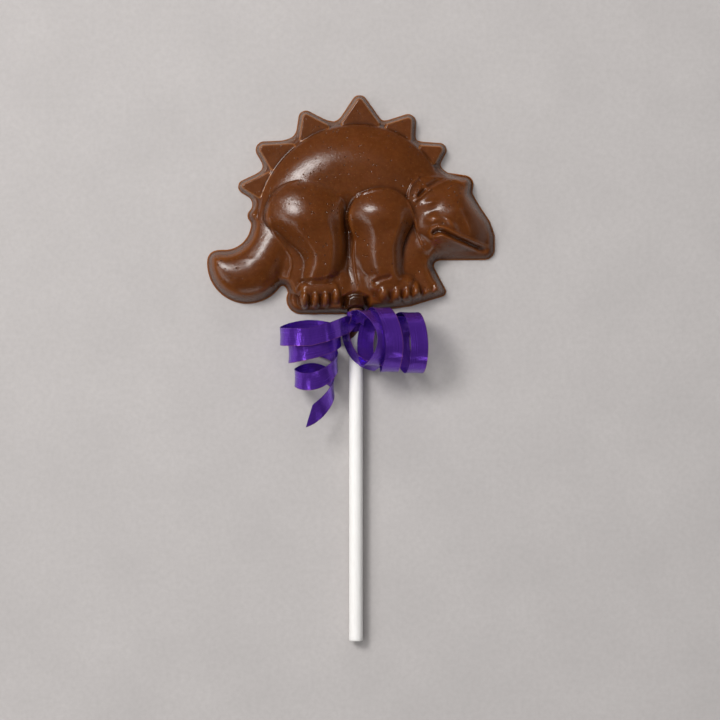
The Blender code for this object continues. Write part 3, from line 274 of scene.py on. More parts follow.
# The head's crest from the nape to the beak: its ends, its height and roundness along it, and its edge
HEAD_NAPE = (17.0, -1.0)
HEAD_BEAK = (37.0, -10.0)
HEAD_CREST_SHIFT = 0.6
HEAD_CREST = ((0.0, 9.2), (0.2, 9.9), (0.35, 10.7), (0.5, 11.0), (0.7, 9.8), (1.0, 6.6))
HEAD_ROUNDNESS = ((0.0, 0.022), (0.5, 0.03), (1.0, 0.06))
HEAD_EDGE_START = (16.0, 0.0)
HEAD_EDGE_END = (36.0, -9.0)
HEAD_EDGE_HIGH = 9.0
HEAD_EDGE_LOW = 3.9
CHIN_Y = -7.0
HEAD_EDGE_CHIN = 0.3
BROW_Y = 2.0
HEAD_EDGE_BROW = 0.3
HEAD_DOME_RUN = 6.0

# Folds of the cheek: centre, half length and half width, tilt in degrees and height, each a soft swelling
FOLDS = (
    (21.4, 0.1, 2.0, 0.8, 14, 0.5), (21.7, -2.3, 2.2, 0.8, 12, -0.2), (21.8, -4.8, 2.3, 1.3, 4, 0.75),
    (26.2, -5.4, 2.0, 0.7, -42, 0.25), (27.2, -6.4, 2.2, 0.8, -60, 0.3), (31.7, -6.8, 3.0, 1.0, -65, 0.35),
    (28.6, -1.6, 2.2, 1.4, 30, 0.25),
)
MOUTH = ((22.1, -8.6), (23.2, -8.1), (24.6, -8.3), (28.8, -10.2), (32.4, -11.7), (36.0, -13.2))
UPPER_LIP = (
    (21.3, -9.9), (20.8, -8.7), (21.4, -7.5), (23.1, -6.8), (25.2, -7.3), (30.0, -9.7), (37.4, -12.3),
)
LOWER_LIP = ((22.4, -9.8), (24.6, -9.5), (27.0, -10.6), (31.6, -12.4), (35.8, -14.0))
MOUTH_LINES = ((MOUTH, -0.9, 0.95), (UPPER_LIP, 0.6, 0.7), (LOWER_LIP, 0.6, 0.6))
HEAD_SEAM = (
    (17.8, 7.2), (15.8, 5.0), (14.8, 2.6), (14.7, 0.6), (16.0, -2.4), (16.9, -5.0), (17.0, -7.0),
    (17.4, -8.8), (18.8, -11.9),
)
FRONT_SEAM = (
    (7.6, 3.6), (4.2, 3.3), (0.7, 2.2), (-1.1, -0.3), (-2.0, -2.8), (-1.5, -6.6), (-0.5, -11.0),
    (-0.8, -15.2), (-0.3, -20.0), (0.7, -24.7),
)
TAIL_SEAM = ((-24.9, -4.5), (-23.6, -8.3), (-20.6, -12.2), (-18.5, -15.2), (-18.2, -18.0), (-19.2, -21.5))
SEAMS = ((HEAD_SEAM, 0.45), (FRONT_SEAM, 0.35), (TAIL_SEAM, 0.3))
SEAM_HALF_WIDTH = 0.42
HEAD_LINES = EYE_LINES + MOUTH_LINES

# The jowl under the cheek: centre, half width, half length, edge height and rise
JOWL = (19.8, -11.3, 5.5, 5.3, 4.0, 3.5)

# Creases: both ankles, and the arch over the neck, each with its depth and half width
CREASES = (
    (((-15.4, -22.3), (-12.6, -22.0), (-9.9, -22.0), (-6.6, -21.1)), 0.4, 1.0),
    (((5.4, -22.5), (7.2, -21.6), (9.4, -21.0)), 0.4, 1.0),
    (((-2.2, -26.3), (-1.0, -25.8), (1.0, -25.8), (2.2, -26.3)), 0.6, 1.0),
    (((-3.3, -29.2), (-3.0, -27.2)), 2.0, 1.3),
    (((3.5, -29.2), (3.1, -27.2)), 2.0, 1.3),
)


def unit(value):
    """The value kept between 0 and 1."""
    return np.clip(value, 0.0, 1.0)


def projected(x, y, start, end):
    """Share of the way from one place to another, and the distance in millimetres to the left of it."""
    run_x = end[0] - start[0]
    run_y = end[1] - start[1]
    length = math.hypot(run_x, run_y)
    from_x = x - start[0]
    from_y = y - start[1]
    return (from_x * run_x + from_y * run_y) / length**2, (from_y * run_x - from_x * run_y) / length


def capsule(x, y, start, end):
    """Signed distance to the hull of two circles, each given as (x, y, radius)."""
    share = unit(projected(x, y, start, end)[0])
    at_x, at_y, radius = [low + share * (high - low) for low, high in zip(start, end)]
    return np.hypot(x - at_x, y - at_y) - radius


def chain(x, y, circles):
    """Signed distance to a row of circles, each joined to the next."""
    pairs = zip(circles[:-1], circles[1:])
    return np.minimum.reduce([capsule(x, y, start, end) for start, end in pairs])


def polygon(x, y, corners):
    """Signed distance to a polygon, negative inside."""
    nearest = np.full(np.shape(x), np.inf)
    inside = np.zeros(np.shape(x), bool)
    for (ax, ay), (bx, by) in zip(corners, corners[1:] + corners[:1]):
        nearest = np.minimum(nearest, capsule(x, y, (ax, ay, 0.0), (bx, by, 0.0)))
        crosses = (ay > y) != (by > y)
        rise = by - ay if by != ay else 1.0
        inside ^= crosses & (x < ax + (y - ay) * (bx - ax) / rise)
    return np.where(inside, -nearest, nearest)


def soft_min(a, b, blend):
    """The smaller of two distances, with a fillet about blend wide where they cross."""
    overlap = np.maximum(blend - np.abs(a - b), 0.0) / blend
    return np.minimum(a, b) - overlap**2 * blend / 4


def soft_max(a, b, blend):
    """The larger of two heights, with a fillet about blend wide where they cross."""
    return -soft_min(-a, -b, blend)


def great_circles(x, y, circles):
    """Signed distance to each of these circles."""
    return [np.hypot(x - middle_x, y - middle_y) - radius for middle_x, middle_y, radius in circles]


def back_border(x, y):
    """Signed distance to the round back that the plates stand on: two great circles run together."""
    return soft_min(*great_circles(x, y, BACK), CIRCLE_BLEND)


def tail_sides(x, y):
    """Signed distances to the round paddle of the tail and to the wide notch above it."""
    paddle_x, paddle_y, paddle_radius = PADDLE
    notch_x, notch_y, corner = NOTCH
    across = np.maximum(x - notch_x + corner, 0.0)
    up = np.maximum(notch_y + corner - y, 0.0)
    paddle = np.hypot(x - paddle_x, y - paddle_y) - paddle_radius
    return paddle, np.hypot(across, up) - corner


def tail_border(x, y):
    """Signed distance to the outside edge of the tail."""
    paddle, notch = tail_sides(x, y)
    return soft_max(paddle, -notch, CIRCLE_BLEND)


def plates_border(x, y):
    """Signed distance to the nearest edge of any plate's flat top."""
    return np.minimum.reduce([polygon(x, y, corners) - rounding for corners, rounding in PLATES])


def silhouette(x, y):
    """Signed distance to the outside edge of the chocolate, negative inside."""
    edge = back_border(x, y) - BACK_RIM
    for corners, rounding in PLATES:
        edge = soft_min(edge, polygon(x, y, corners) - rounding - WALL_RUN, 1.6)
    parts = (
        (np.hypot(x - TAIL_NUB[0], y - TAIL_NUB[1]) - TAIL_NUB_RADIUS, 1.2),
        (tail_border(x, y), 1.5),
        (np.minimum.reduce([chain(x, y, circles) for circles in FEET_EDGES]), 1.2),
        (polygon(x, y, HEAD_CORNERS) - HEAD_ROUNDING, 1.2),
        (chain(x, y, FRILL), 1.6),
    )
    for border, blend in parts:
        edge = soft_min(edge, border, blend)
    neck = np.maximum(np.abs(x) - NECK_HALF_WIDTH, NECK_END_Y - y)
    return soft_min(edge, np.maximum(neck, y - NECK_TOP_Y), 1.0)


def flowing(at, knots):
    """A smooth value along a line, through knots given as (place, amount) with rising places."""
    places = np.array([place for place, _ in knots])
    amounts = np.array([amount for _, amount in knots])
    slopes = np.gradient(amounts, places)
    at = np.clip(at, places[0], places[-1])
    k = np.clip(np.searchsorted(places, at) - 1, 0, len(places) - 2)
    run = places[k + 1] - places[k]
    t = (at - places[k]) / run
    start = (1 + 2 * t) * (1 - t) ** 2 * amounts[k] + t * (1 - t) ** 2 * run * slopes[k]
    end = t * t * (3 - 2 * t) * amounts[k + 1] + t * t * (t - 1) * run * slopes[k + 1]
    return start + end


def pillow(distance, edge, rise, reach, power):
    """Height of a rounded form from its signed border distance, with a steep step down outside it."""
    share = unit(-distance / reach)
    top = edge + rise * (1.0 - (1.0 - share) ** power)
    return np.where(distance > 0.0, edge - STEP_SLOPE * distance, top)


def limb(x, y, left, right, joint):
    """Share from 0 on a leg's axis to 1 at its sides, and half its width; the top is a round joint."""
    low = flowing(y, left)
    high = flowing(y, right)
    half_width = (high - low) / 2
    joint_x, joint_y, radius = joint
    above = y > joint_y
    leg = np.abs(x - (low + high) / 2) / half_width
    share = np.where(above, np.hypot(x - joint_x, y - joint_y) / radius, leg)
    return share, np.where(above, radius, half_width)


def bulge(share, half_width, edge, rise, power):
    """Height of a rounded form from its share field, with a steep step down outside it."""
    top = edge + rise * (1.0 - share**power)
    return np.where(share > 1.0, edge - STEP_SLOPE * (share - 1.0) * half_width, top)


def face_border(x, y):
    """Signed distance to the rim of the face, a convex shape with softened corners."""
    corners = FACE_RIM
    total = 0.0
    for (ax, ay), (bx, by) in zip(corners, corners[1:] + corners[:1]):
        length = np.hypot(bx - ax, by - ay)
        outward = ((x - ax) * (by - ay) - (y - ay) * (bx - ax)) / length
        total = total + np.exp(outward / FACE_SOFTNESS)
    return FACE_SOFTNESS * np.log(total)


def stroke(x, y, points, half_width):
    """Share from 1 on a drawn line to 0 at its half width, with soft shoulders."""
    circles = [(px, py, 0.0) for px, py in points]
    share = unit(1.0 - chain(x, y, circles) / half_width)
    return share * share * (3.0 - 2.0 * share)


def swelling(x, y, middle_x, middle_y, half_length, half_width, tilt, rise):
    """A soft long swelling, or a dent where the rise is negative."""
    angle = math.radians(tilt)
    along = (x - middle_x) * math.cos(angle) + (y - middle_y) * math.sin(angle)
    aside = (y - middle_y) * math.cos(angle) - (x - middle_x) * math.sin(angle)
    return rise * np.exp(-((along / half_length) ** 2) - (aside / half_width) ** 2)


def toe_height(x, y, centres, peak):
    """Height of a row of toes, each half an egg that stands a little sunk in the skirt."""
    best = np.zeros(np.shape(x))
    for toe_x, toe_y, half_width in centres:
        run = np.where(y > toe_y, TOE_BEHIND, TOE_AHEAD)
        radius = np.hypot((x - toe_x) / half_width, (y - toe_y) / run)
        best = np.maximum(best, unit(1.0 - radius**2) ** TOE_FULLNESS)
    low = SKIRT_TOP - TOE_SINK
    return np.where(best > 0.0, low + (peak - low) * best, 0.0)


def face_height(x, y):
    """The head: a dome that falls away to the beak, with the eye, folds and mouth drawn in it."""
    border = face_border(x, y)
    along, aside = projected(x, y, HEAD_NAPE, HEAD_BEAK)
    dome = flowing(along, HEAD_CREST) - flowing(along, HEAD_ROUNDNESS) * (aside + HEAD_CREST_SHIFT) ** 2
    falling, _ = projected(x, y, HEAD_EDGE_START, HEAD_EDGE_END)
    edge = HEAD_EDGE_HIGH - unit(falling) * (HEAD_EDGE_HIGH - HEAD_EDGE_LOW)
    edge = edge - HEAD_EDGE_CHIN * np.maximum(CHIN_Y - y, 0.0)
    edge = edge - HEAD_EDGE_BROW * np.maximum(y - BROW_Y, 0.0)
    share = unit(-border / HEAD_DOME_RUN)
    height = edge + (dome - edge) * (1.0 - (1.0 - share) ** 2.2)
    height = np.where(border > 0.0, edge - STEP_SLOPE * border, height)
    for points, rise, half_width in HEAD_LINES:
        height += rise * stroke(x, y, points, half_width)
    for fold in FOLDS:
        height += swelling(x, y, *fold)
    return height


def shin(x, y, left, right, top, fall_left, fall_right):
    """Height of the crest between two shoulder lines, rounding over and falling away to both sides."""
    beyond_left = np.maximum(flowing(y, left) - x, 0.0)
    beyond_right = np.maximum(x - flowing(y, right), 0.0)
    fall = fall_left * beyond_left**2 / (beyond_left + SHOULDER_LEFT)
    fall = fall + fall_right * beyond_right**2 / (beyond_right + SHOULDER_RIGHT)
    return flowing(y, top) - fall


def near_leg_height(x, y, sides, edges, rises, crest, foot, foot_form, foot_blend, toes):
    """A near leg: its rounded base with the crest of the shin on it, its foot and its toes."""
    share, half_width = limb(x, y, *sides)
    base = bulge(share, half_width, flowing(y, edges), flowing(y, rises), 2.0)
    outside = np.maximum(share - 1.0, 0.0) * half_width
    leg = soft_max(base, shin(x, y, *crest) - STEP_SLOPE * outside, 1.6)
    leg = soft_max(leg, pillow(chain(x, y, foot), *foot_form), foot_blend)
    return soft_max(leg, toe_height(x, y, *toes), 0.5)


def jowl_height(x, y):
    """The round throat and jowl that bulge out under the cheek."""
    middle_x, middle_y, half_width, half_length, edge, rise = JOWL
    share = np.hypot((x - middle_x) / half_width, (y - middle_y) / half_length)
    return bulge(share, half_width, edge, rise, 2.2)


def far_leg_height(x, y):
    """Height of the front leg of the far side, behind the near one."""
    leg = pillow(chain(x, y, FAR_LEG), *FAR_LEG_FORM)
    return soft_max(leg, toe_height(x, y, *FAR_TOES), 0.4)


def tail_height(x, y):
    """The tail: round across from the notch to its lower edge, and running up into the flank."""
    paddle, notch = tail_sides(x, y)
    root = capsule(x, y, PADDLE, TAIL_ROOT)
    from_notch = np.maximum(notch, 0.0)
    from_edge = np.maximum(-np.minimum(paddle, root), 0.0)
    width = np.maximum(from_notch + from_edge, 0.01)
    share = from_notch / width
    rise = TAIL_RISE * (1.0 - np.exp(-width / TAIL_BROAD)) * flowing(y, TAIL_FADE)
    return TAIL_EDGE + rise * (4.0 * share * (1.0 - share)) ** 0.75


def body_height(x, y):
    """The back and belly where two great circles overlap: a broad dome that sinks between the legs."""
    border = soft_max(*great_circles(x, y, BODY), CIRCLE_BLEND)
    dome = pillow(border, BODY_EDGE, BODY_RISE, BODY_ROUNDING, 2.6)
    return dome + flowing(y, BODY_SAG) * unit(-border / SAG_RUN)


def neck_height(x, y):
    """The rippled sleeve of chocolate that runs down the stick from between the feet."""
    across = np.sqrt(unit(1.0 - (x / (NECK_HALF_WIDTH + 0.2)) ** 2))
    ripple = RIPPLE * np.sin((y + 0.35 * np.abs(x)) * RIPPLE_TURN)
    height = STICK_AXIS_Z + (NECK_HALF_WIDTH + 0.1) * across + ripple
    return np.where((y < SLEEVE_TOP_Y) & (np.abs(x) < NECK_HALF_WIDTH), height, 0.0)


def depth_inside(x, y, outline):
    """True distance from each point to the nearest stretch of the closed outline."""
    runs = np.roll(outline, -1, axis=0) - outline
    squared = (runs**2).sum(axis=1)
    depth = np.empty(len(x))
    for first in range(0, len(x), DEPTH_BATCH):
        part = slice(first, first + DEPTH_BATCH)
        dx = x[part, None] - outline[None, :, 0]
        dy = y[part, None] - outline[None, :, 1]
        share = unit((dx * runs[:, 0] + dy * runs[:, 1]) / squared)
        depth[part] = np.hypot(dx - share * runs[:, 0], dy - share * runs[:, 1]).min(axis=1)
    return depth


def relief(x, y, depth):
    """Height of the moulded face of the chocolate over its flat back."""
    height = flowing(y, ((-4.0, SKIRT_TOP), (-1.0, PLATE_TOP), (3.0, PLATE_TOP)))
    height = soft_min(height, LIP + SKIRT_SLOPE * np.maximum(depth - LEDGE, 0.0), 0.6)
    height = np.maximum(height, PLATE_TOP - WALL_SLOPE * np.maximum(plates_border(x, y), 0.0))
    nub = np.hypot(x - TAIL_NUB[0], y - TAIL_NUB[1])
    height = np.maximum(height, TAIL_NUB_TOP - TAIL_NUB_ROUNDNESS * nub**2)
    height = np.maximum(height, body_height(x, y))
    frill = pillow(chain(x, y, FRILL) + WALL_RUN, *FRILL_FORM)
    height = soft_max(height, frill, 1.6)
    height = np.where(x < TAIL_RIGHT_X, soft_max(height, tail_height(x, y), 1.0), height)
    fillet = flowing(y, ((-9.0, 0.5), (-4.0, 0.8), (2.0, 1.1)))
    height = soft_max(height, near_leg_height(x, y, *HIND_LEG), fillet)
    height = height - flowing(y, GROOVE_DEPTHS) * stroke(x, y, GROOVE, GROOVE_HALF_WIDTH)
    cover = STICK_AXIS_Z + np.sqrt(np.maximum(STICK_COVER**2 - x**2, 0.0))
    height = np.where(y < STICK_TOP_Y + 2.0, soft_max(height, cover, 0.8), height)
    height = soft_max(height, far_leg_height(x, y), 0.4)
    height = soft_max(height, near_leg_height(x, y, *FRONT_LEG), 0.7)
    height = soft_max(height, jowl_height(x, y), 0.5)
    brow = flowing(y, ((2.0, 0.25), (4.0, 0.5), (7.0, 0.7)))
    chin = flowing(y, ((-14.0, 2.0), (-11.0, 1.6), (-8.0, 0.25)))
    height = soft_max(height, face_height(x, y), np.maximum(brow, chin))
    for points, rise in SEAMS:
        height += rise * stroke(x, y, points, SEAM_HALF_WIDTH)
    for points, fall, half_width in CREASES:
        height -= fall * stroke(x, y, points, half_width)
    height = np.maximum(height, neck_height(x, y))
    roll = np.maximum(flowing(y, ROLL_BY_Y), flowing(x, ROLL_BY_X))
    return soft_min(height, LIP + WALL_SLOPE * np.maximum(depth - LEDGE, 0.0), roll)


def downhill(field, x, y):
    """Unit direction in which a distance field rises, and how steeply, from small differences."""
    step = 0.02
    gx = field(x + step, y) - field(x - step, y)
    gy = field(x, y + step) - field(x, y - step)
    size = np.maximum(np.hypot(gx, gy), 1e-9)
    return gx / size, gy / size, size / (2 * step)


def settle(field, x, y, rounds):
    """Points moved along the field's slope onto its border, where it is nought."""
    for _ in range(rounds):
        nx, ny, slope = downhill(field, x, y)
        move = np.clip(field(x, y) / np.maximum(slope, 0.3), -0.6, 0.6)
        x = x - nx * move
        y = y - ny * move
    return x, y


def traced(field, start, step):
    """The closed border of a field, walked round from a point near it with even steps."""
    x, y = settle(field, np.array([start[0]]), np.array([start[1]]), 12)
    path = [(x[0], y[0])]
    for _ in range(4000):
        nx, ny, _ = downhill(field, x, y)
        x, y = settle(field, x - ny * step, y + nx * step, 4)
        if len(path) > 20 and math.hypot(x[0] - path[0][0], y[0] - path[0][1]) < step * 0.8:
            break
        path.append((x[0], y[0]))
    return np.array(path)


def smooth_path(stations, per_span):
    """Values between stations on a Catmull-Rom curve, each station a row of numbers."""
    rows = np.array([stations[0], *stations, stations[-1]], float)
    t = np.arange(per_span)[:, None] / per_span
    spans = []
    for before, here, after, beyond in zip(rows, rows[1:], rows[2:], rows[3:]):
        bend = 2 * before - 5 * here + 4 * after - beyond
        twist = 3 * here - before - 3 * after + beyond
        spans.append(0.5 * (2 * here + (after - before) * t + bend * t**2 + twist * t**3))
    return np.concatenate([*spans, rows[-2:-1]])


def pinched(run):
    """Share of the full width, this far in millimetres from the knot that gathers the ribbon."""
    share = min(run / PINCH_RUN, 1.0)
    return PINCH + (1.0 - PINCH) * share * share * (3.0 - 2.0 * share)


def half_across(side, tangent, run, total, slant):
    """Half the strip's width as a vector, leaning along the run where its cut end is slanted."""
    along = tangent / np.linalg.norm(tangent)
    side = side - along * np.dot(side, along)
    lean = slant * max(0.0, 1.0 - (total - run) / SLANT_RUN) ** 2
    return (side / np.linalg.norm(side) + along * lean) * RIBBON_WIDTH * pinched(run) / 2


def with_lead(lead, lead_across, curl, across):
    """A curl after the lead from the knot, the lead's side turning evenly to the curl's first one."""
    rows = smooth_path((*lead, tuple(curl[0])), RIBBON_STEPS)[:-1]
    turning = np.linspace(lead_across, across[0], len(rows))
    return np.concatenate([rows, curl]), np.concatenate([turning, across])


def left_tail():
    """The left tail: from the knot over the top of a curl that narrows as it runs down beside the stick.

    Each station is one quarter turn: centre x, radius, y along the curl, and tilt of the curl in degrees.
    """
    turns = (
        (-13.0, 8.5, -38.1, 16), (-12.9, 8.5, -37.8, 16), (-12.8, 8.5, -35.6, 18), (-12.6, 8.3, -38.1, 20),
        (-12.3, 7.5, -41.7, 20), (-12.1, 6.9, -42.9, 20), (-12.0, 6.8, -41.0, 20), (-11.8, 6.6, -45.0, 20),
        (-11.7, 6.0, -50.4, 20), (-11.7, 5.6, -49.5, 22), (-11.6, 5.4, -47.9, 22), (-11.6, 5.3, -52.3, 18),
        (-13.2, 5.6, -60.4, 12),
    )
    middle_x, radius, y, tilt = smooth_path(turns, RIBBON_STEPS).T
    angles = math.pi / 2 + np.arange(len(y)) * (math.pi / 2) / RIBBON_STEPS
    tilt = np.radians(tilt)
    middle_z = radius + LOWEST_RIBBON_Z + RIBBON_WIDTH / 2 * np.sin(tilt)
    curl = np.stack([middle_x + radius * np.cos(angles), y, middle_z + radius * np.sin(angles)], axis=1)
    across = np.stack([0 * tilt, -np.cos(tilt), -np.sin(tilt)], axis=1)
    lead = ((0.1, -33.8, 6.4), (-2.3, -34.5, 9.6), (-4.9, -35.6, 14.4), (-8.4, -36.9, 17.5))
    return with_lead(lead, (0.0, -0.9, 0.1), curl, across)


def right_tail():
    """The right tail: a curl that starts over the stick and comes down to the table.

    Each station is one quarter turn: x along the curl, centre y, centre z, radius, and tilt in degrees.
    """
    turns = (
        (2.2, -38.1, 13.3, 7.5, 34), (8.1, -38.1, 13.2, 7.8, 36), (4.2, -38.2, 13.2, 7.8, 30),
        (2.8, -38.5, 12.9, 8.4, 26), (6.8, -38.8, 11.7, 9.0, 22), (10.7, -39.0, 10.7, 8.9, 18),
        (9.4, -39.1, 10.2, 8.8, 17), (9.9, -39.3, 9.9, 8.7, 17), (15.0, -39.6, 9.5, 8.5, 16),
        (17.8, -39.7, 9.3, 8.5, 16), (16.3, -39.8, 9.2, 8.4, 16), (12.9, -39.9, 9.0, 8.2, 16),
        (14.6, -39.9, 8.9, 7.6, 16),
    )
    x, middle_y, middle_z, radius, tilt = smooth_path(turns, RIBBON_STEPS).T
    angles = math.pi / 2 - np.arange(len(x)) * (math.pi / 2) / RIBBON_STEPS
    tilt = np.radians(tilt)
    y = middle_y + radius * np.sin(angles)
    curl = np.stack([x, y, middle_z + radius * np.cos(angles) * np.cos(tilt)], axis=1)
    across = np.stack([np.cos(tilt), 0 * tilt, -np.sin(tilt)], axis=1)
    lead = ((-0.9, -33.7, 6.8), (0.1, -32.8, 8.2), (1.2, -31.4, 10.8))
    return with_lead(lead, (0.3, -0.9, 0.0), curl, across)


def short_loop():
    """The strand that comes down in front of the stick on its edge and tucks in under the right curl."""
    stations = (
        (-0.7, -34.0, 6.7), (-2.4, -35.0, 7.0), (-2.8, -37.8, 7.2), (-1.8, -41.0, 7.9),
        (-0.2, -43.6, 8.0), (2.0, -45.3, 7.8), (4.0, -46.3, 6.4), (6.4, -46.9, 5.2),
    )
    centres = smooth_path(stations, RIBBON_STEPS)
    turned = 2 * RIBBON_STEPS
    on_edge = (0.4, 0.25, 1.0)
    across = np.linspace((0.2, -1.0, 0.1), on_edge, turned)
    upright = np.linspace(on_edge, (0.3, 0.35, 1.0), len(centres) - turned)
    return centres, np.concatenate([across, upright])


def lattice():
    """A triangular lattice over the chocolate: its points and its triangles, each three point numbers."""
    row_step = LATTICE_STEP * math.sqrt(3) / 2
    columns = int(LATTICE_WIDTH / LATTICE_STEP)
    rows = int(LATTICE_HEIGHT / row_step)
    column, row = np.meshgrid(np.arange(columns), np.arange(rows))
    x = LATTICE_CORNER[0] + column * LATTICE_STEP + (row % 2) * LATTICE_STEP / 2
    y = LATTICE_CORNER[1] + row * row_step
    here = row * columns + column
    corner = here[:-1, :-1].ravel()
    even = (row[:-1, :-1].ravel() % 2) == 0
    right = corner + 1
    above = corner + columns
    above_right = above + 1
    first = np.stack([corner, right, np.where(even, above, above_right)], axis=1)
    second = np.stack([np.where(even, right, corner), above_right, above], axis=1)
    return x.ravel(), y.ravel(), np.concatenate([first, second])


def edge_ends(triangles):
    """The two ends of each side of each triangle, in the triangle's direction."""
    return np.concatenate([triangles[:, [0, 1]], triangles[:, [1, 2]], triangles[:, [2, 0]]])


def open_edges(triangles):
    """Edges that only one triangle uses, each in that triangle's direction."""
    ends = edge_ends(triangles)
    _, index, count = np.unique(np.sort(ends, axis=1), axis=0, return_inverse=True, return_counts=True)
    return ends[count[index.ravel()] == 1]


def smoothed(values, triangles, fixed, rounds):
    """Heights averaged with their neighbours' on the lattice, apart from the fixed ones."""
    ends = edge_ends(triangles)
    ends = np.concatenate([ends, ends[:, ::-1]])
    count = np.bincount(ends[:, 0], minlength=len(values))
    for _ in range(rounds):
        total = np.bincount(ends[:, 0], weights=values[ends[:, 1]], minlength=len(values))
        mean = total / np.maximum(count, 1)
        values = np.where(fixed, values, 0.5 * values + 0.5 * mean)
    return values


def trimmed_lattice():
    """The lattice inside the silhouette, with its border points moved onto the outline."""
    x, y, triangles = lattice()
    edge = silhouette(x, y)
    triangles = triangles[(edge[triangles] < -0.3 * LATTICE_STEP).all(axis=1)]
    used, triangles = np.unique(triangles, return_inverse=True)
    triangles = triangles.reshape(-1, 3)
    x = x[used]
    y = y[used]
    border = np.unique(open_edges(triangles))
    x[border], y[border] = settle(silhouette, x[border], y[border], 8)
    return x, y, triangles, border


def border_ring(triangles):
    """The border's points, each followed by the next one round it."""
    loop = open_edges(triangles)
    after = dict(loop.tolist())
    ring = [int(loop[0][0])]
    while after[ring[-1]] != ring[0]:
        ring.append(after[ring[-1]])
    return ring


def surface_marks(x, y, z, depth, triangles, on_border):
    """What the material reads at each point, by name: shares, and the depth in millimetres."""
    # Hollow: painted shade where the surface lies below its smoothed neighbours, painted highlight where it
    # stands above
    hollow = (smoothed(z, triangles, on_border, HOLLOW_ROUNDS) - z) / HOLLOW_DEPTH
    hollow = smoothed(np.clip(hollow, -1.0, 1.0), triangles, on_border, SMOOTHING_ROUNDS)
    hollow = hollow * unit((depth - WALL_RUN) / 0.6)
    at_feet = np.clip((y + 24.0) / 4.0, HOLLOW_AT_FEET, 1.0)
    hollow = hollow * np.where(hollow > 0.0, at_feet, RIDGE_HIGHLIGHT_GAIN)
    near_plates = unit((y + 3.0) / 3.0) * unit((29.0 - x) / 3.0)
    low = unit((PLATE_TOP + 0.35 - z) / 0.25)
    # Rim: painted highlight along the low edges of the plates' tops
    rim = np.exp(-(((plates_border(x, y) - 0.05) / 0.2) ** 2)) * low
    # Neck: painted shade in the arch over the sleeve between the feet
    below_feet = unit((-25.0 - 0.2 * x**2 - y) / 0.9)
    neck = below_feet * unit((4.2 - np.abs(x)) / 0.8)
    return {"depth": depth, "rim": rim, "neck": neck, "hollow": hollow, "plates": near_plates}


def chocolate_piece():
    """The moulded face as a fine relief, with the outside wall and the flat back."""
    outline = traced(silhouette, (0.5, 31.0), OUTLINE_STEP)
    x, y, triangles, border = trimmed_lattice()
    depth = depth_inside(x, y, outline)
    depth[border] = 0.0
    on_border = np.zeros(len(x), bool)
    on_border[border] = True
    z = smoothed(relief(x, y, depth), triangles, on_border, SMOOTHING_ROUNDS)
    z[on_border] = LIP
    marks = surface_marks(x, y, z, depth, triangles, on_border)
    ring = border_ring(triangles)
    back = np.arange(len(x), len(x) + len(ring))
    points = np.stack([x, y, z], axis=1)
    under = points[ring] * (1.0, 1.0, 0.0)
    low, high = [np.array(list(corner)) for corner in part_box("chocolate")]
    points = np.clip(np.concatenate([points, under]) * MM, low, high)
    walls = list(zip(ring[1:] + ring[:1], ring, back, np.roll(back, -1)))
    mesh = bpy.data.meshes.new("chocolate_fine")
    mesh.from_pydata(points.tolist(), [], triangles.tolist() + walls + [tuple(back[::-1])])
    mesh.update()
    for name, values in marks.items():
        attribute = mesh.attributes.new(name, "FLOAT", "POINT")
        attribute.data.foreach_set("value", np.concatenate([values, np.zeros(len(ring))]).astype(np.float32))
    mesh.shade_smooth()
    mesh.set_sharp_from_angle(angle=math.radians(60))
    return add_piece(mesh, "chocolate")


def linked(name, data):
    """A new object of the scene with this data."""
    made = bpy.data.objects.new(name, data)
    bpy.context.scene.collection.objects.link(made)
    return made


def add_piece(mesh, node):
    """The object of a fine mesh, in place of the solid of that node."""
    made = linked(mesh.name, mesh)
    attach(made, "root")
    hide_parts(node)
    return made


def finished_mesh(model, name, sharp_degrees):
    """A mesh from the model, shaded smooth apart from its sharp edges."""
    bmesh.ops.recalc_face_normals(model, faces=model.faces)
    mesh = bpy.data.meshes.new(name)
    model.to_mesh(mesh)
    model.free()
    mesh.shade_smooth()
    mesh.set_sharp_from_angle(angle=math.radians(sharp_degrees))
    return mesh


def strip_rings(centres, across, slant):
    """Rings of points round a thin strip, each point with its place across and along it in millimetres."""
    tangents = np.gradient(centres, axis=0)
    steps = np.linalg.norm(np.diff(centres, axis=0), axis=1)
    runs = np.concatenate([[0.0], np.cumsum(steps)])
    order = list(range(RIBBON_ACROSS + 1))
    sides = ((FINE_HALF_THICKNESS, order), (-FINE_HALF_THICKNESS, order[::-1]))
    for centre, side, tangent, run in zip(centres, across, tangents, runs):
        half = half_across(side, tangent, run, runs[-1], slant)
        normal = np.cross(tangent, half)
        normal = normal / np.linalg.norm(normal)
        ring = []
        for offset, indices in sides:
            for index in indices:
                share = 2 * index / RIBBON_ACROSS - 1
                lift = CUPPING * (2 * share**2 - 1) + offset
                place = (index * RIBBON_WIDTH / RIBBON_ACROSS, run)
                ring.append((centre + half * share + normal * lift, place))
        yield ring


def strip(model, uv, centres, across, slant=0.0):
    """Adds one closed thin strip to the model, with its places as texture coordinates."""
    places = {}
    rings = []
    for ring in strip_rings(centres, across, slant):
        rings.append([model.verts.new(Vector(point) * MM) for point, _ in ring])
        places.update(zip(rings[-1], [place for _, place in ring]))
    faces = []
    for end in (rings[0], rings[-1]):
        faces += [(end[j], end[j + 1], end[-j - 2], end[-j - 1]) for j in range(RIBBON_ACROSS)]
    for low, high in zip(rings, rings[1:]):
        faces += [(low[k - 1], low[k], high[k], high[k - 1]) for k in range(len(low))]
    for corners in faces:
        for loop in model.faces.new(corners).loops:
            loop[uv].uv = places[loop.vert]


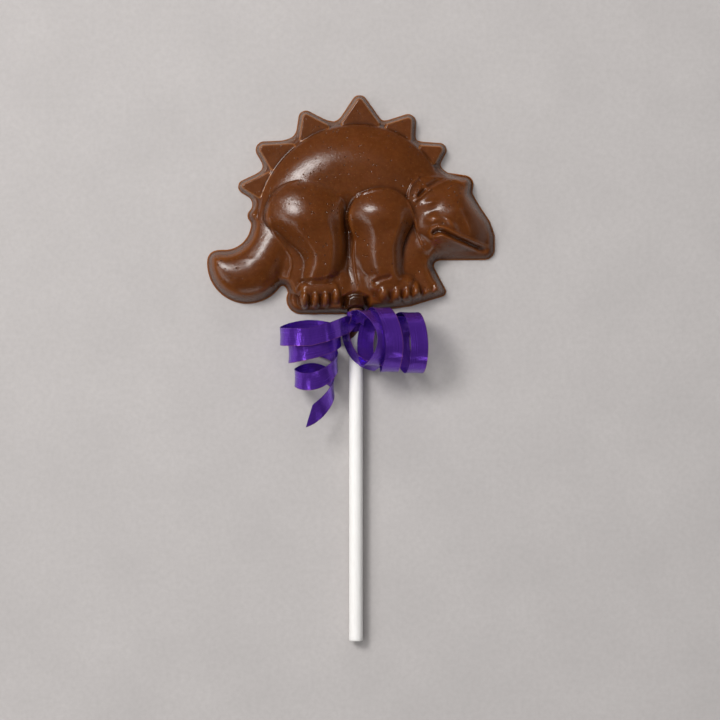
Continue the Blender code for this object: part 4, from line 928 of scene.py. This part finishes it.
def wrap_path():
    """Two turns of ribbon round the stick, one lying half over the other."""
    angles = np.linspace(0.0, WRAP_TURNS * math.tau, WRAP_STEPS)
    radius = STICK_DIAMETER / 2 + WRAP_GAP + WRAP_GROWTH * angles / math.tau
    x = radius * np.cos(angles)
    z = STICK_AXIS_Z + radius * np.sin(angles)
    y = WRAP_Y - 0.5 * np.cos(angles * 0.45)
    across = np.stack([0 * x, np.ones_like(x), 0.06 * np.sin(angles)], axis=1)
    return np.stack([x, y, z], axis=1), across


def knot_path():
    """The pinched band that ties the knot, from under the wrap over its top and down again."""
    stations = (
        (-2.4, -35.6, 4.6), (-1.6, -34.9, 6.3), (-0.6, -34.0, 7.6),
        (0.3, -33.0, 7.7), (1.2, -32.0, 6.6), (2.0, -31.6, 4.8),
    )
    centres = smooth_path(stations, KNOT_STEPS)
    across = np.linspace((-0.9, -0.2, 0.35), (-0.6, -0.75, 0.2), len(centres))
    return centres, across


def ribbon_piece():
    """The ribbon: both curled tails, the short strand and the knot, all in one mesh."""
    model = bmesh.new()
    uv = model.loops.layers.uv.new("along")
    strip(model, uv, *left_tail(), END_SLANT)
    for centres, across in (right_tail(), short_loop(), wrap_path(), knot_path()):
        strip(model, uv, centres, across)
    return add_piece(finished_mesh(model, "ribbon_fine", 40), "ribbon")


def stick_piece():
    """The rolled paper stick, with a soft crushed edge at its end."""
    model = bmesh.new()
    radius = STICK_DIAMETER / 2
    top = STICK_TOP_Y
    end = STICK_TOP_Y - STICK_LENGTH
    profile = [(0.02, top), (radius - 0.3, top), (radius, top - 0.3)]
    profile += [(radius, y) for y in np.linspace(top - 2.0, end + 1.6, 60)]
    profile += [(radius, end + 0.45), (radius - 0.06, end + 0.2), (radius - 0.25, end + 0.04)]
    profile += [(radius - 0.5, end), (0.75, end + 0.08), (0.6, end + 0.3), (0.02, end + 0.5)]
    rings = []
    for ring_radius, y in profile:
        ring = []
        for side in range(STICK_SIDES):
            angle = math.tau * side / STICK_SIDES
            worn_end_and_ridge_highlight = 0.03 * math.sin(3 * angle + 1.0) if y < end + 0.4 else 0.0
            x = ring_radius * math.cos(angle)
            z = STICK_AXIS_Z + ring_radius * math.sin(angle)
            ring.append(model.verts.new(Vector((x, max(y + worn_end_and_ridge_highlight, end), z)) * MM))
        rings.append(ring)
    for low, high in zip(rings, rings[1:]):
        for side in range(STICK_SIDES):
            model.faces.new((low[side - 1], low[side], high[side], high[side - 1]))
    model.faces.new(rings[0][::-1])
    model.faces.new(rings[-1])
    return add_piece(finished_mesh(model, "stick_fine", 50), "stick")


class Nodes:
    """Adds and links the nodes of one material."""

    def __init__(self, name, uv_map=None):
        self.material = bpy.data.materials.new(name)
        self.material.use_nodes = True
        self.tree = self.material.node_tree
        self.shader = self.tree.nodes["Principled BSDF"]
        self.normal = None
        if uv_map:
            self.where = self.add("UVMap", uv_map=uv_map).outputs["UV"]
        else:
            self.where = self.place()

    def add(self, kind, inputs=(), **settings):
        """A new node with these settings, and with values or other nodes' outputs in its inputs."""
        node = self.tree.nodes.new("ShaderNode" + kind)
        for name, value in settings.items():
            setattr(node, name, value)
        self.fill(node, dict(inputs))
        return node

    def fill(self, node, inputs):
        for name, value in inputs.items():
            if isinstance(value, bpy.types.NodeSocket):
                self.tree.links.new(value, node.inputs[name])
            else:
                node.inputs[name].default_value = value

    def place(self, scale=(1.0, 1.0, 1.0)):
        """Object coordinates in millimetres, stretched by the scale."""
        coordinates = self.add("TexCoord").outputs["Object"]
        return self.stretched(coordinates, tuple(value / MM for value in scale))

    def stretched(self, where, scale):
        return self.add("Mapping", {"Vector": where, "Scale": scale}).outputs["Vector"]

    def mark(self, name):
        return self.add("Attribute", attribute_name=name).outputs["Fac"]

    def noise(self, scale, detail=3.0, roughness=0.5, where=None):
        inputs = {"Vector": where or self.where, "Scale": scale, "Detail": detail, "Roughness": roughness}
        return self.add("TexNoise", inputs).outputs["Fac"]

    def dots(self, scale, inner, outer):
        """Scattered round dots: 1 within the inner radius of a cell's middle, 0 beyond the outer one."""
        cells = self.add("TexVoronoi", {"Vector": self.where, "Scale": scale}, feature="F1")
        return self.mapped(cells.outputs["Distance"], inner, outer, 1.0, 0.0)

    def mapped(self, value, low, high, to_low=0.0, to_high=1.0):
        inputs = {"Value": value, "From Min": low, "From Max": high, "To Min": to_low, "To Max": to_high}
        return self.add("MapRange", inputs).outputs["Result"]

    def math(self, operation, first, second=0.0):
        return self.add("Math", {0: first, 1: second}, operation=operation).outputs[0]

    def times(self, first, second):
        return self.math("MULTIPLY", first, second)

    def ramp(self, value, low, low_colour, high, high_colour):
        """A colour that turns from one to the other as the value rises from low to high."""
        node = self.add("ValToRGB", {"Fac": value})
        ends = ((low, low_colour), (high, high_colour))
        for element, (place, colour) in zip(node.color_ramp.elements, ends):
            element.position = place
            element.color = (*colour, 1.0)
        return node.outputs["Color"]

    def tinted(self, colour, *layers):
        """The colour under layers of (share, tint), the first one lowest."""
        for share, tint in layers:
            mix = {0: share, 6: colour, 7: (*tint, 1.0)}
            colour = self.add("Mix", mix, data_type="RGBA").outputs[2]
        return colour

    def bump(self, height, distance, strength=1.0):
        """Raises the surface by a share of this distance in millimetres, over what is raised before."""
        inputs = {"Height": height, "Distance": distance * MM, "Strength": strength}
        if self.normal is not None:
            inputs["Normal"] = self.normal
        self.normal = self.add("Bump", inputs).outputs["Normal"]

    def finished(self, **values):
        """The material, with these inputs of its shader."""
        values["Normal"] = self.normal
        self.fill(self.shader, {name.replace("_", " "): value for name, value in values.items()})
        return self.material


def chocolate_material():
    """Milk chocolate from a mould: brown with a faint bloom, soft gloss, small pits, pale specks and painted
    light and shade.
    """
    nodes = Nodes("milk_chocolate_fine")
    hollow = nodes.mark("hollow")
    near_plates = nodes.mark("plates")
    depth = nodes.mark("depth")
    # Painted shade: darker brown in creases and hollows
    deep = nodes.mapped(hollow, 0.06, 0.8, 0.0, 0.8)
    away = nodes.mapped(near_plates, 0.0, 1.0, 1.0, 0.0)
    # Painted highlight: lighter orange on ridges, less of it near the plates
    worn_end_and_ridge_highlight = nodes.times(nodes.mapped(hollow, -0.8, -0.2, 0.5, 0.0), away)
    cloud = nodes.mapped(nodes.noise(0.8, 4.0, 0.65), 0.4, 0.72, 0.0, 0.42)
    specks = nodes.dots(0.95, 0.05, 0.13)
    # Painted highlight: an orange glow of light through the thin lip at the outline, and along the plates'
    # rims
    lip = nodes.mapped(depth, 0.14, 0.34, 1.0, 0.0)
    # Painted reflection of the pale board on the outside wall, strongest by the plates; it also carries the
    # mould's lines
    wall = nodes.times(nodes.mapped(depth, 0.3, 0.4), nodes.mapped(depth, 1.1, 1.5, 1.0, 0.0))
    wall = nodes.times(wall, nodes.mapped(near_plates, 0.0, 1.0, 0.05, 1.0))
    rim = nodes.math("MAXIMUM", lip, nodes.mark("rim"))
    # Pits: small dents, painted dark for the shade inside them
    some = nodes.mapped(nodes.noise(0.13, 2.0), 0.42, 0.58, 0.15, 1.0)
    small_pits = nodes.times(nodes.dots(0.66, 0.09, 0.2), some)
    pit = nodes.math("MAXIMUM", small_pits, nodes.dots(0.3, 0.04, 0.1))
    broad = nodes.noise(0.09, 3.0, 0.55)
    brown = nodes.ramp(broad, 0.3, (0.082, 0.0215, 0.0037), 0.7, (0.108, 0.029, 0.0053))
    colour = nodes.tinted(
        brown,
        (cloud, (0.145, 0.044, 0.01)),
        # painted shade in hollows
        (deep, (0.024, 0.0057, 0.0012)),
        # painted highlight on ridges
        (worn_end_and_ridge_highlight, (0.19, 0.058, 0.011)),
        # painted shade over the sleeve under the arch
        (nodes.times(nodes.mark("neck"), 0.85), (0.022, 0.0065, 0.002)),
        (nodes.times(specks, 0.55), (0.27, 0.1, 0.034)),
        # painted reflection of the board on the wall
        (nodes.times(wall, 0.32), (0.27, 0.2, 0.16)),
        # painted highlight and glow at the lip and the plate rims
        (nodes.times(rim, 0.85), (0.3, 0.105, 0.022)),
        # painted shade in the pits
        (nodes.times(pit, 0.5), (0.03, 0.012, 0.006)),
    )
    lines = nodes.math("SINE", nodes.times(depth, math.tau / WALL_LINE_STEP))
    nodes.bump(nodes.times(lines, wall), WALL_LINE_DEPTH)
    nodes.bump(nodes.noise(0.4, 2.0), 0.05)
    nodes.bump(nodes.noise(1.7, 4.0, 0.65), 0.035)
    nodes.bump(nodes.times(pit, -1.0), 0.12)
    smear = nodes.noise(0.35, where=nodes.place((0.8, 1.1, 1.0)))
    near_edge = nodes.mapped(depth, 0.5, 2.4, 1.0, 0.0)
    steep = nodes.times(near_edge, nodes.mapped(near_plates, 0.0, 1.0, 1.0, 0.25))
    return nodes.finished(
        Base_Color=colour,
        Roughness=nodes.mapped(smear, 0.3, 0.7, 0.2, 0.27),
        Specular_IOR_Level=nodes.mapped(steep, 0.0, 1.0, 0.5, 0.12),
        IOR=1.5,
        Subsurface_Weight=0.12,
        Subsurface_Radius=(1.0, 0.35, 0.15),
        Subsurface_Scale=1.2 * MM,
    )


def ribbon_material():
    """Purple curling ribbon: satin, finely ribbed along its length, paler at its edges."""
    nodes = Nodes("purple_ribbon_fine", "along")
    streak = nodes.noise(1.0, 4.0, 0.65, nodes.stretched(nodes.where, (9.0, 0.05, 1.0)))
    weave = nodes.noise(1.0, 3.0, 0.6, nodes.stretched(nodes.where, (3.0, 0.5, 1.0)))
    creases = nodes.noise(1.0, 2.0, 0.5, nodes.stretched(nodes.where, (0.3, 0.5, 1.0)))
    half = RIBBON_WIDTH / 2
    across = nodes.add("SeparateXYZ", {"Vector": nodes.where}).outputs["X"]
    from_middle = nodes.math("ABSOLUTE", nodes.math("SUBTRACT", across, half))
    edge = nodes.mapped(from_middle, half - 0.22, half - 0.02, 0.0, 0.4)
    back_edge = nodes.mapped(across, RIBBON_WIDTH - 0.22, RIBBON_WIDTH - 0.06, 0.0, 0.65)
    purple = nodes.ramp(streak, 0.25, (0.096, 0.024, 0.39), 0.75, (0.205, 0.062, 0.66))
    colour = nodes.tinted(purple, (edge, (0.24, 0.09, 0.48)), (back_edge, (0.36, 0.11, 0.28)))
    nodes.bump(creases, 0.3, 0.6)
    nodes.bump(weave, 0.045, 0.7)
    nodes.bump(streak, 0.014, 0.8)
    rough = nodes.mapped(streak, 0.3, 0.7, 0.19, 0.28)
    return nodes.finished(Base_Color=colour, Roughness=rough, Metallic=0.7, IOR=1.5)


def paper_material():
    """White rolled paper with faint length-wise fibre, and chocolate smeared on it under the knot."""
    nodes = Nodes("white_paper_fine")
    fibre = nodes.noise(1.0, 4.0, 0.6, nodes.place((3.0, 0.25, 3.0)))
    tone = nodes.mapped(nodes.noise(0.12, 2.0), 0.4, 0.7, 0.0, 0.2)
    parts = nodes.add("SeparateXYZ", {"Vector": nodes.where}).outputs
    limit = nodes.math("ADD", parts["X"], nodes.times(nodes.noise(0.8), 1.2))
    smear = nodes.mapped(nodes.math("SUBTRACT", parts["Y"], limit), -38.0, -37.6)
    white = nodes.ramp(fibre, 0.3, (0.84, 0.825, 0.805), 0.7, (0.91, 0.9, 0.885))
    colour = nodes.tinted(white, (tone, (0.88, 0.86, 0.83)), (smear, (0.12, 0.045, 0.02)))
    nodes.bump(fibre, 0.02, 0.7)
    return nodes.finished(Base_Color=colour, Roughness=nodes.mapped(smear, 0.0, 1.0, 0.62, 0.35))


def table_material():
    """The pale grey matt board that the sweet lies on, faintly mottled."""
    nodes = Nodes("grey_board")
    mottle = nodes.noise(0.045, 5.0, 0.6)
    speck = nodes.noise(0.7, 3.0, 0.6)
    grey = nodes.ramp(mottle, 0.3, (0.478, 0.456, 0.451), 0.7, (0.52, 0.496, 0.49))
    colour = nodes.tinted(grey, (nodes.mapped(speck, 0.3, 0.7, 0.0, 0.4), (0.405, 0.383, 0.377)))
    nodes.bump(speck, 0.03, 0.5)
    return nodes.finished(Base_Color=colour, Roughness=0.85)


def table_plane():
    """The table, a hair below the sweet."""
    model = bmesh.new()
    bmesh.ops.create_grid(model, x_segments=1, y_segments=1, size=TABLE_HALF_SIZE * MM)
    mesh = bpy.data.meshes.new("table")
    model.to_mesh(mesh)
    model.free()
    mesh.materials.append(table_material())
    made = linked("table", mesh)
    made.location = (0.0, 0.0, -TABLE_GAP * MM)


def softbox(name, direction, distance, width, height, watts, colour, mirrored):
    """An area light of this size in millimetres, seen from the sweet in the given direction."""
    light = bpy.data.lights.new(name, "AREA")
    light.shape = "RECTANGLE"
    light.size = width * MM
    light.size_y = height * MM
    light.energy = watts
    light.color = colour
    made = linked(name, light)
    toward = Vector(direction).normalized()
    made.location = (Vector(LIGHTS_MIDDLE) + toward * distance) * MM
    made.rotation_mode = "QUATERNION"
    made.rotation_quaternion = toward.to_track_quat("Z", "Y")
    made.visible_glossy = mirrored


def lighting():
    """The soft boxes, and a faint blue light from all round."""
    for row in LIGHTS:
        softbox(*row)
    world = bpy.data.worlds.new("studio")
    world.use_nodes = True
    background = world.node_tree.nodes["Background"]
    background.inputs["Color"].default_value = (0.93, 0.95, 1.0, 1.0)
    background.inputs["Strength"].default_value = 0.05
    bpy.context.scene.world = world


def camera():
    """The camera straight above the middle of the photo's frame."""
    data = bpy.data.cameras.new("camera")
    data.sensor_width = SENSOR_WIDTH
    data.lens = SENSOR_WIDTH * CAMERA_HEIGHT / VIEW_WIDTH
    data.clip_start = 0.01
    data.clip_end = 10.0
    made = linked("camera", data)
    made.location = Vector((*VIEW_CENTRE, CAMERA_HEIGHT)) * MM
    bpy.context.scene.camera = made


def main():
    chocolate_piece().data.materials.append(chocolate_material())
    ribbon_piece().data.materials.append(ribbon_material())
    stick_piece().data.materials.append(paper_material())
    table_plane()
    lighting()
    camera()
    bpy.context.scene.view_settings.view_transform = "Standard"


main()
